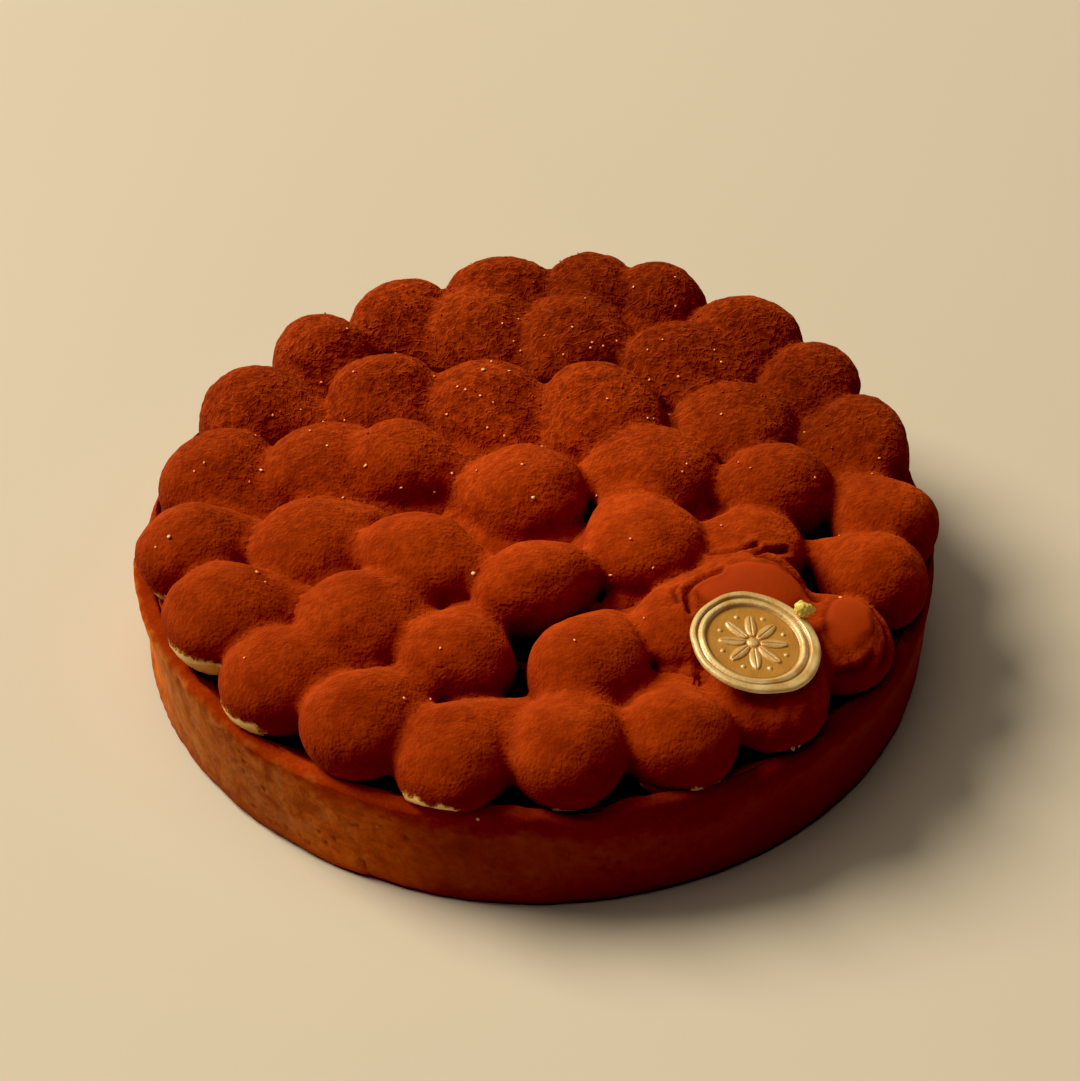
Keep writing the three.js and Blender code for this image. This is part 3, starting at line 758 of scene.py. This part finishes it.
def crust_outline():
    inner, foot = RIM_R - WALL, BASE_R - WALL_FOOT
    pts = []

    def run(a, b, n):
        for t in np.linspace(0, 1, n, endpoint=False):
            pts.append(((1 - t) * a[0] + t * b[0], (1 - t) * a[1] + t * b[1]))

    n = 1
    run((foot - 2, FLOOR_T), (foot, FLOOR_T + 2), 3)
    run((foot, FLOOR_T + 2), (inner - 0.15, CRUST_H - 2.2), 10 // n)
    # rounded inner lip, flat top, rounded outer lip
    for t in np.linspace(0, 1, 6 // n, endpoint=False):
        a = math.pi - t * math.pi / 2
        pts.append((inner + 1.25 + 1.4 * math.cos(a), CRUST_H - 1.45 + 1.4 * math.sin(a)))
    run((inner + 1.25, CRUST_H - 0.05), (RIM_R - 2.1, CRUST_H - 0.1), 5 // n)
    for t in np.linspace(0, 1, 9 // n, endpoint=False):
        a = math.pi / 2 - t * math.pi / 2
        pts.append((RIM_R - 2.15 + 2.1 * math.cos(a), CRUST_H - 2.4 + 2.3 * math.sin(a)))
    for z in np.linspace(CRUST_H - 2.5, 1.3, 60 // n, endpoint=False):
        r = RIM_R - 0.05 - (RIM_R - BASE_R - 0.3) * ((CRUST_H - z) / CRUST_H) ** 1.1
        pts.append((r, z))
    for t in np.linspace(0, 1, 5, endpoint=False):
        a = -t * math.pi / 2
        pts.append((BASE_R - 1.2 + 1.2 * math.cos(a), 1.2 + 1.2 * math.sin(a)))
    run((BASE_R - 1.2, 0.0), (BASE_R - 20, 0.0), 4)
    pts.append((BASE_R - 20, 0.0))
    return np.array(pts)


def build_crust():
    prof = crust_outline()
    a = np.linspace(0, 2 * np.pi, N_RIM, endpoint=False)
    R = np.repeat(prof[:, :1], N_RIM, 1)
    Z = np.repeat(prof[:, 1:], N_RIM, 1)
    A = np.repeat(a[None], len(prof), 0)
    C = np.stack([R * np.cos(A), R * np.sin(A), Z], -1).reshape(-1, 3)
    R, Z, A = R.ravel(), Z.ravel(), A.ravel()
    ring = np.stack([110 * np.cos(A), 110 * np.sin(A), 0 * A], -1)
    top = sstep(Z, CRUST_H - 6.5, CRUST_H - 0.6)
    out = sstep(R, RIM_R - WALL + 0.4, RIM_R - 1.2)
    # the hand-pressed edge: humps and dips of dough, small breaks
    deg = np.degrees(A)

    def about(centre, half, soft=0.5):
        """1 within half degrees of a direction round the tart, fading to 0 beyond it."""
        return sstep(np.abs((deg - centre + 180) % 360 - 180), half * (1 + soft), half * (1 - soft))
    wave = 0.80 * noise(ring, 21, 21) + 0.65 * noise(ring, 9, 22)
    swollen = 1.25 * about(-96, 8) + 1.35 * about(-72, 8) + 0.7 * about(-146, 5) - 0.8 * about(-84, 4) - 1.0 * about(-60, 4)
    hump = wave + swollen + 0.32 * noise(ring, 4.0, 23)
    Z2 = Z + top * (hump - 0.15)
    lean = 0.45 * noise(ring, 34, 24) + 0.60 * noise(ring + 40, 10, 25) * top + 0.42 * noise(ring, 4.6, 26) * top
    flare = 0.9 * about(-166, 11, 0.45) * sstep(Z, 24, 31) - 1.2 * about(-169, 14, 0.5) * sstep(Z, 4, 12) * sstep(Z, 28, 20)
    flare = flare - 2.5 * about(156, 22.5, 0.3)
    skin = out * sstep(Z, 0.4, 2.5)
    P3 = C * np.array([1, 1, 0.8])
    rough = 0.20 * fbm(P3, 9, 2, 31) + 0.055 * fbm(P3, 2.2, 2, 33)
    pit_n = noise(C * np.array([1, 1, 0.62]), 1.7, 35)
    zone = sstep(noise(C, 24, 36), -0.15, 0.45)
    pits_with_painted_shade = sstep(pit_n, 0.40, 0.66) * zone * skin * (1 - top)
    crease = np.exp(-((noise(ring + 7, 13, 37) - 0.05) / 0.10) ** 2) * sstep(Z, 26.5, 29) * sstep(Z, 31.8, 29.5) * out
    R2 = R + lean * (0.30 + 0.70 * top) * sstep(Z, 0, 3) + flare * out * sstep(Z, 0, 6) + skin * rough - 0.38 * pits_with_painted_shade - 0.35 * crease
    nicks = np.abs(noise(ring, 3.2, 40)) * (0.25 + 0.75 * about(-163, 13))
    foot_wave = 0.35 * noise(ring, 12, 38) + 0.18 * noise(ring, 4, 39) + 0.9 * nicks - 0.25
    R2 = R2 + foot_wave * sstep(Z, 4.0, 0.4) * sstep(R, BASE_R - 4, BASE_R - 1)
    # a short crack up from the foot where the dough was joined
    along = (deg + 113.3 + 180) % 360 - 180
    seam = np.exp(-((along + 0.10 * Z) / 0.42) ** 2) * sstep(Z, 15, 4) * sstep(R, BASE_R - 3, BASE_R - 1)
    step = sstep(along, -0.3, 0.5) * sstep(along, 9, 1) * sstep(Z, 12, 2) * sstep(R, BASE_R - 3, BASE_R - 1)
    R2 = R2 - 0.55 * seam - 0.45 * step
    crumb = top * (0.12 * noise(C, 2.1, 41) + 0.05 * noise(C, 1.0, 42))
    Z2 = Z2 + crumb
    R2 = np.minimum(R2, RIM_R + 0.9)
    V = np.stack([R2 * np.cos(A), R2 * np.sin(A), np.maximum(Z2, 0)], -1)
    rows = len(prof)
    first = [[0, 0, FLOOR_T]]
    last = [[0, 0, 0]]
    verts = np.vstack([V, first, last])
    quads = grid_faces(rows, N_RIM)
    i = np.arange(N_RIM); j = (i + 1) % N_RIM
    cap_top = np.stack([np.full(N_RIM, len(V)), i, j], -1)
    cap_low = np.stack([np.full(N_RIM, len(V) + 1), (rows - 1) * N_RIM + j, (rows - 1) * N_RIM + i], -1)
    # powder lies on the top and fades down the side, further where the edge is humped
    reach = 3.6 + 3.0 * sstep(noise(ring, 17, 51), -0.6, 0.9) + 0.6 * noise(ring, 5, 52) + 0.8 * wave + 1.6 * about(-72, 10)
    reach = reach * (1 - 0.62 * about(-158, 24, 0.35))
    dust = np.clip(1.15 - (CRUST_H - Z) / np.maximum(reach, 0.8) * 0.50, 0, 1)
    dust = np.where(R < RIM_R - 1.6, 1.45, dust) * (1 - 0.30 * about(-145, 35, 0.4) * sstep(R, RIM_R - 2.4, RIM_R - 0.8))
    # darker baking in random places, darker towards the foot, and painted shade over the right side
    toast_and_shade = 0.9 * sstep(Z, 4.0, 0.3) + 0.25 * sstep(noise(C, 30, 53), 0.0, 0.6) + 0.9 * about(-42, 50, 0.6)
    # paler places, with painted light over the left front side that faces the key light
    pale_and_painted_light = np.clip(about(-152, 25, 0.8) + 0.25 * about(-119, 9, 0.8) + 0.6 * about(110, 30, 0.8) + 0.5 * about(25, 25, 0.8), 0, 1) * sstep(Z, 1.5, 8)
    # painted light: bright orange over the far left side, where the key light falls
    painted_light_amber = about(-171, 13, 0.4) * sstep(Z, 1.0, 5)
    # painted light: a brighter patch on the left front side and on its powder
    painted_light_patch = about(-114, 10, 0.6)
    # small hollows, the crease and the crack are painted dark as shade
    at = dict(dust=dust, painted_light_amber=painted_light_amber, painted_light_patch=painted_light_patch, toast_and_shade=np.clip(toast_and_shade, 0, 1), pits_with_painted_shade=np.clip(pits_with_painted_shade + 0.6 * crease + 0.8 * seam, 0, 1), pale_and_painted_light=pale_and_painted_light)
    at = {k: np.append(v, [0, 0]) for k, v in at.items()}
    return verts, quads, cap_top, cap_low, at


verts, quads, cap_top, cap_low, at = build_crust()
make_piece("crust_shell", verts, [quads, cap_top, cap_low], CRUST, ["crust"], at)


# ---------------------------------------------------------------- bed under the drops, painted near black as shade in the gaps
def build_bed():
    n = 180
    foot = BASE_R - WALL_FOOT
    slope = (RIM_R - WALL - foot) / (CRUST_H - 1.6 - FLOOR_T - 2)
    edge = foot + slope * (BED + 3.0 - FLOOR_T - 2) - 0.1
    radii = np.concatenate([np.linspace(4, BANK_R - 0.8, 40), np.linspace(BANK_R, edge - 0.3, 9), [edge]])
    heights = BED + BANK_SLOPE * np.maximum(radii - BANK_R, 0)
    heights[-1] -= 0.8
    radii = np.append(radii, [foot - 0.5, foot - 2.6]); heights = np.append(heights, [FLOOR_T + 2.2, FLOOR_T + 0.3])
    a = np.linspace(0, 2 * np.pi, n, endpoint=False)
    V = np.stack([radii[:, None] * np.cos(a), radii[:, None] * np.sin(a), np.repeat(heights[:, None], n, 1)], -1).reshape(-1, 3)
    lift = (np.repeat(heights[:, None], n, 1).ravel() > BED - 0.8)
    V[:, 2] += lift * (0.25 * noise(V, 9, 61) + 0.12 * noise(V, 2.5, 62) - 0.2)
    bank = sstep(np.hypot(V[:, 0], V[:, 1]) + 1.2 * noise(V, 6, 63), BANK_R - 3.0, BANK_R + 1.2)
    rows = len(radii)
    verts = np.vstack([V, [[0, 0, BED - 0.1]], [[0, 0, FLOOR_T + 0.3]]])
    quads = grid_faces(rows, n)
    i = np.arange(n); j = (i + 1) % n
    faces = [quads, np.stack([np.full(n, len(V)), i, j], -1), np.stack([np.full(n, len(V) + 1), (rows - 1) * n + j, (rows - 1) * n + i], -1)]
    return verts, faces, dict(bank=np.append(bank, [0, 0]))


verts, faces, at = build_bed()
make_piece("chocolate_bed", verts, faces, BEDM, ["filling"], at)


# ---------------------------------------------------------------- gold seal with a plain flower
def build_seal():
    n, rad = 360, SEAL["radius"]
    f_top = np.concatenate([np.linspace(0.015, 0.68, 54), np.linspace(0.69, 1.0, 52)])
    a = np.linspace(0, 2 * np.pi, n, endpoint=False)
    F, A = np.meshgrid(f_top, a, indexing="ij")
    ringpt = np.stack([17 * np.cos(A), 17 * np.sin(A), 0 * A], -1).reshape(-1, 3)
    edge = (1 + 0.010 * np.sin(3 * A + 0.6) + 0.009 * np.sin(5 * A + 2.0)
            + (0.014 * noise(ringpt, 7, 71)).reshape(A.shape))
    # the stamp sits a little off the middle of the poured disc, towards the near left
    ox, oy = STAMP_OFF
    X, Y = F * rad * np.cos(A), F * rad * np.sin(A)
    sx, sy = X - ox, Y - oy
    r, B = np.hypot(sx, sy), np.arctan2(sy, sx)
    q = r / rad

    def ridge(at, w):
        return np.exp(-((q - at) / w) ** 2)
    swell = (noise(np.stack([X, Y, 0 * X], -1).reshape(-1, 3), 6.5, 73)).reshape(A.shape)
    h = -1.05 + 0 * q
    h += 0.80 * sstep(q, 0.715, 0.765) - 0.10 * sstep(q, 0.80, 0.84)              # step up to the inner ring
    h += 0.14 * ridge(0.79, 0.022)
    h -= 0.46 * ridge(0.862, 0.016) * (0.75 + 0.25 * np.sin(2 * B + 0.8))         # narrow groove
    h += 0.34 * sstep(q, 0.865, 0.905)                                            # outer ring
    h += swell * (0.05 + 0.16 * sstep(q, 0.72, 0.9))
    # flower: eight plain petals round a boss, with a bead between each pair
    k = 8
    ph = (B + math.pi / k) % (2 * math.pi / k) - math.pi / k
    petal_w = 1.55 * np.sqrt(np.clip(1 - ((r - 5.5) / 3.5) ** 2, 0, 1))
    lateral = np.abs(r * np.sin(ph))
    petal = np.clip(1 - (lateral / np.maximum(petal_w, 1e-3)) ** 2, 0, 1) * (petal_w > 0.02)
    h += 0.46 * np.sqrt(petal) - 0.20 * np.exp(-(lateral / 0.20) ** 2) * (petal > 0.2)
    boss = np.sqrt(np.clip(1 - (r / 1.6) ** 2, 0, 1))
    h += 0.52 * boss
    ph2 = B % (2 * math.pi / k) - math.pi / k
    bead = np.sqrt(np.clip(1 - (np.hypot(r * np.cos(ph2) - 9.0, r * np.sin(ph2)) / 0.62) ** 2, 0, 1))
    h += 0.34 * bead
    # the edge rolls over
    lip = np.clip((F - 0.93) / 0.07, 0, 1)
    h -= 0.55 * (1 - np.sqrt(np.clip(1 - lip ** 2, 0, 1)))
    h = np.minimum(h, 0.0)
    RR = F * rad * np.where(F > 0.7, 1 + (edge - 1) * sstep(F, 0.7, 0.95), 1)
    rows_f, rows_h = [RR], [h]
    for f, hh in ((1.010, -0.85), (1.004, -1.25), (0.985, -1.6), (0.93, -1.84), (0.6, -1.9), (0.2, -1.9)):
        rows_f.append(rad * f * edge[-1:, :] if f > 0.9 else np.full((1, n), rad * f))
        rows_h.append(np.full((1, n), hh))
    RR, hh = np.vstack(rows_f), np.vstack(rows_h)
    AA = np.repeat(a[None], len(RR), 0)
    X2, Y2 = (RR * np.cos(AA)).ravel(), (RR * np.sin(AA)).ravel()
    V = SC + X2[:, None] * SFORE + Y2[:, None] * SSIDE + hh.ravel()[:, None] * SUP
    rows = len(RR)
    verts = np.vstack([V, [SC + SUP * float(h[0].mean())], [SC - SUP * SEAL["edge"]]])
    quads = grid_faces(rows, n)
    i = np.arange(n); j = (i + 1) % n
    caps = [np.stack([np.full(n, len(V)), i, j], -1), np.stack([np.full(n, len(V) + 1), (rows - 1) * n + j, (rows - 1) * n + i], -1)]
    extra = V.shape[0] - h.size

    def full(x, tail):
        return np.concatenate([x.ravel(), np.full(extra, tail)])
    # paler gold with a painted highlight over the rings, and half of it on the raised flower
    pale_rings_and_highlight = full(np.clip(sstep(q, 0.70, 0.76) * (0.80 + 0.25 * swell), 0, 1), 0.9)
    raised = full(np.clip(np.sqrt(petal) + boss + bead, 0, 1), 0)
    # painted shade in the grooves, at the foot of the inner ring and down the middle of each petal
    groove = full(np.clip(ridge(0.862, 0.018) + 0.9 * ridge(0.712, 0.016) + 0.5 * (np.exp(-(lateral / 0.18) ** 2) * (petal > 0.2)), 0, 1), 0)
    at = {k2: np.append(v, [v[0], 0]) for k2, v in dict(pale_rings_and_highlight=np.clip(pale_rings_and_highlight + 0.5 * raised, 0, 1), groove=groove).items()}
    return verts, [quads] + caps, at


verts, faces, at = build_seal()
make_piece("gold_seal", verts, faces, SEALM, ["seal"], at)


# ---------------------------------------------------------------- crumpled nugget of gold leaf
def icosphere(sub):
    t = (1 + 5 ** 0.5) / 2
    v = np.array([(-1, t, 0), (1, t, 0), (-1, -t, 0), (1, -t, 0), (0, -1, t), (0, 1, t), (0, -1, -t), (0, 1, -t),
                  (t, 0, -1), (t, 0, 1), (-t, 0, -1), (-t, 0, 1)], float)
    f = np.array([(0, 11, 5), (0, 5, 1), (0, 1, 7), (0, 7, 10), (0, 10, 11), (1, 5, 9), (5, 11, 4), (11, 10, 2), (10, 7, 6),
                  (7, 1, 8), (3, 9, 4), (3, 4, 2), (3, 2, 6), (3, 6, 8), (3, 8, 9), (4, 9, 5), (2, 4, 11), (6, 2, 10),
                  (8, 6, 7), (9, 8, 1)])
    v /= np.linalg.norm(v, axis=1, keepdims=True)
    for _ in range(sub):
        cache, new, vs = {}, [], list(v)

        def mid(a, b):
            key = (min(a, b), max(a, b))
            if key not in cache:
                m = vs[a] + vs[b]
                vs.append(m / np.linalg.norm(m)); cache[key] = len(vs) - 1
            return cache[key]
        for a, b, c in f:
            ab, bc, ca = mid(a, b), mid(b, c), mid(c, a)
            new += [(a, ab, ca), (b, bc, ab), (c, ca, bc), (ab, bc, ca)]
        v, f = np.array(vs), np.array(new)
    return v, f


v, f = icosphere(3)
s = 2.5 * (0.88 + 0.26 * noise(v, 0.95, 81) + 0.15 * noise(v, 0.42, 82))
tip = np.clip(v[:, 0] * 0.93 + v[:, 1] * 0.25, 0, 1) ** 9
s = s * (1 + 1.05 * tip)
tw = math.radians(41)
x, y, z = v[:, 0] * s, v[:, 1] * s * 0.86, v[:, 2] * s * 1.0
lx, ly = x * math.cos(tw) - y * math.sin(tw), x * math.sin(tw) + y * math.cos(tw)
V = SC + (2 + lx)[:, None] * SFORE + (16.2 + ly)[:, None] * SSIDE + np.maximum(2.0 + z, 0.05)[:, None] * SUP
make_piece("gold_nugget_leaf", V, f, LEAF, ["gold_nugget"])

# ---------------------------------------------------------------- gold dust, cocoa grains and cream crumbs
def height(x, y):
    """Top of the drops above a point in plan, with the slope of the skin there."""
    near = [d for d in drops if np.hypot(d.c[0] - x, d.c[1] - y) < 44]
    lo, hi = BED, 62.0
    zs = np.arange(hi, lo, -0.5)
    f = union(near, np.stack([np.full(len(zs), x), np.full(len(zs), y), zs], -1))[0]
    hit = np.nonzero(f < 0)[0]
    if len(hit) == 0:
        return (CRUST_H if np.hypot(x, y) > RIM_R - WALL else BED), np.array([0, 0, 1.0])
    a, b = zs[hit[0]], zs[max(hit[0] - 1, 0)]
    for _ in range(8):
        m = (a + b) / 2
        if union(near, np.array([[x, y, m]]))[0][0] < 0:
            a = m
        else:
            b = m
    p = np.array([x, y, a])
    base = union(near, p[None])[0][0]
    n = np.array([union(near, (p + e)[None])[0][0] - base for e in np.eye(3) * 0.2])
    n /= np.linalg.norm(n) + 1e-9
    worn = marks(p[None], n[None, 2])[0][0]
    return a + 0.25 + worn * n[2], n


def scatter(name, spots, material, seed, flat, soft, swell=1.0):
    """One mesh of small lumps at given places: x, y, radius."""
    r = np.random.default_rng(seed)
    V0, F0 = icosphere(0)
    vs, fs = [], []
    for x, y, rad, *stuck in spots:
        z, n = (stuck[0], np.array([0.2, -0.9, 0.38])) if stuck else height(x, y)
        t = np.cross(n, [0.3, 1, 0.1]); t /= np.linalg.norm(t)
        b = np.cross(n, t)
        spin = r.uniform(0, 2 * math.pi)
        u, w = t * math.cos(spin) + b * math.sin(spin), -t * math.sin(spin) + b * math.cos(spin)
        rad = rad * swell
        lump = V0 * (1 + 0.35 * r.uniform(-1, 1, (len(V0), 1))) * rad * np.array([1, r.uniform(0.6, 1.0), flat])
        P = np.array([x, y, z]) + lump @ np.stack([u, w, n]) + n * rad * flat * 0.35
        fs.append(F0 + len(V0) * len(vs)); vs.append(P)
    return make_piece(name, np.vstack(vs), np.vstack(fs), material, smooth=soft)


GOLD_DUST = [
    (-14.7, 42.4, 0.56), (-73, -38.2, 0.56), (-0.5, -12.4, 0.54), (79.7, -46.5, 0.54), (-46.4, 3.2, 0.53),
    (-97.4, -24.8, 0.51), (-75.5, 8.1, 0.5), (19.9, -35.8, 0.5), (-16.2, -39.5, 0.5), (-3.5, -3.5, 0.48),
    (-32.8, -83.1, 0.47), (-55.7, 32.8, 0.46), (-27.6, -1.5, 0.44), (49.9, -18.4, 0.42), (-62.3, 17.7, 0.41),
    (40.7, 46.3, 0.41), (-51.6, 43.4, 0.4), (25.1, -29.9, 0.4), (1.9, 8, 0.39), (-52.3, -3.8, 0.39),
    (82.3, -14.2, 0.39), (-25, 30, 0.39), (31.2, 24.1, 0.39), (-12.6, 48.7, 0.39), (-7.4, 42.9, 0.39),
    (-53.9, 32.1, 0.39), (40.9, 76.8, 0.38), (-22, 36.7, 0.37), (-59.2, 25, 0.37), (28.3, -53.1, 0.37),
    (-19.7, 35.2, 0.37), (10, -68.2, 0.37), (-14.2, -109.0, 0.46), (-57.1, 10.2, 0.36), (-22.7, 2.5, 0.36),
    (-93.5, 4.6, 0.36), (75.4, 25.6, 0.36), (36.4, 56.9, 0.36), (-90.9, 6.8, 0.36), (38.4, 41.6, 0.35),
    (51.9, 26, 0.35), (-74.1, -69.1, 0.35), (-40.2, 55.7, 0.35), (58.5, 0.8, 0.35), (-69.3, -3.7, 0.35),
    (-36.5, -2.8, 0.35), (-66.5, 36.7, 0.35), (16.7, -2.7, 0.35), (55.6, 5.1, 0.34), (23.4, 62.1, 0.34),
    (-26.5, -78.2, 0.34), (20, 27.6, 0.34), (-74.1, 32.5, 0.34), (-101, -26.4, 0.34), (41, 84.3, 0.34),
    (10.6, 64.7, 0.34), (-54.8, 68.7, 0.34), (2.6, 63.9, 0.34), (-15.4, 32.8, 0.34), (95, 11.6, 0.34),
    (40, -0.6, 0.34), (-24.1, -68.4, 0.34), (-28.8, 45.9, 0.33), (-8.7, 22, 0.33), (-16, 0.2, 0.33),
    (75.9, -29.9, 0.33), (-6.4, 65.6, 0.33), (76.1, -1.5, 0.33), (31.1, -36.4, 0.33), (-70.6, -41.9, 0.33),
    (28.7, 82.7, 0.33), (14.5, 77.3, 0.33), (53.2, 52, 0.33), (-61.8, 53.5, 0.33), (-13.4, 24, 0.33),
    (-78.5, 3.5, 0.33), (-5, 74.2, 0.33), (15.8, 58.8, 0.33), (32.5, 47.9, 0.33), (41.2, 2.1, 0.33),
    (-9.7, 70.1, 0.32), (19.6, 59.8, 0.32), (32.1, 55, 0.32), (-11.8, 30.6, 0.32), (92.9, 7.6, 0.32),
    (16.4, 60.2, 0.32), (-4.4, 62.8, 0.32), (51.3, 55.3, 0.32), (8, 57.2, 0.32), (32.9, 24.9, 0.32),
    (-78.1, 22.1, 0.32),
]
scatter("gold_dust", GOLD_DUST, SPECK, 5, 0.42, True, 1.30)

r_ = np.random.default_rng(19)
grains = []
while len(grains) < 150:
    gx, gy = r_.uniform(-104, 104, 2)
    if np.hypot(gx, gy) > 101 or np.hypot(gx - SEAL["x"], gy - SEAL["y"]) < 19:
        continue
    if r_.uniform() > sstep(np.array([gy]), -20, 60)[0]:
        continue
    grains.append((gx, gy, r_.uniform(0.20, 0.40)))
scatter("cocoa_grains", grains, GRAIN, 6, 0.8, True)
CREAM_BITS = [(65.4, -86.6, 0.85, 35.2), (67.0, -86.0, 0.45, 35.5)]
scatter("cream_crumbs", CREAM_BITS, CRUMB, 7, 0.7, True)

# ---------------------------------------------------------------- camera
THETA, DIST = math.radians(41.45), 800.0
cam = bpy.data.cameras.new("camera")
cam.sensor_fit = "HORIZONTAL"
cam.sensor_width = 36.0
cam.lens = 96.0
cam.clip_start, cam.clip_end = 0.05, 20
camera = bpy.data.objects.new("camera", cam)
bpy.context.scene.collection.objects.link(camera)
camera.location = (1.25 * MM, -DIST * math.cos(THETA) * MM, (29.1 + DIST * math.sin(THETA)) * MM)
camera.rotation_euler = (math.pi / 2 - THETA, 0, 0)
bpy.context.scene.camera = camera

# ---------------------------------------------------------------- floor and light
n = 60
t = np.linspace(-1, 1, n)
X, Y = np.meshgrid(t, t, indexing="ij")
V = np.stack([X.ravel() * 3000, Y.ravel() * 3000, np.zeros(n * n) - 0.02], -1)
idx = np.arange(n * n).reshape(n, n)
make_piece("studio_floor", V, np.stack([idx[:-1, :-1], idx[1:, :-1], idx[1:, 1:], idx[:-1, 1:]], -1).reshape(-1, 4),
           floor_material(), stage=True)


def area_light(name, azimuth, elevation, distance, size, power, colour=(1, 1, 1)):
    d = bpy.data.lights.new(name, "AREA")
    d.shape = "DISK"
    d.size, d.energy, d.color = size, power, colour
    ob = bpy.data.objects.new(name, d)
    a, e = math.radians(azimuth), math.radians(elevation)
    ob.location = (distance * math.cos(e) * math.cos(a), distance * math.cos(e) * math.sin(a), distance * math.sin(e) + 0.03)
    ob.rotation_euler = (math.pi / 2 - e, 0, a + math.pi / 2)
    bpy.context.scene.collection.objects.link(ob)
    return ob


area_light("key", 158, 46, 4.5, 2.5, 292, (1.0, 0.94, 0.84))
area_light("overhead", 150, 80, 3.2, 3.6, 31, (1.0, 0.94, 0.84))

world = bpy.data.worlds.new("studio")
bpy.context.scene.world = world
world.use_nodes = True
bg = world.node_tree.nodes["Background"] if "Background" in world.node_tree.nodes else world.node_tree.nodes.new("ShaderNodeBackground")
bg.inputs[0].default_value = (1.0, 0.92, 0.80, 1)
bg.inputs[1].default_value = 0.022

bpy.context.scene.view_settings.view_transform = "Standard"
bpy.context.scene.view_settings.look = "None"
view = bpy.context.scene.view_settings
view.use_curve_mapping = True
view.curve_mapping.black_level = (0.006, 0.007, 0.003)
view.curve_mapping.update()
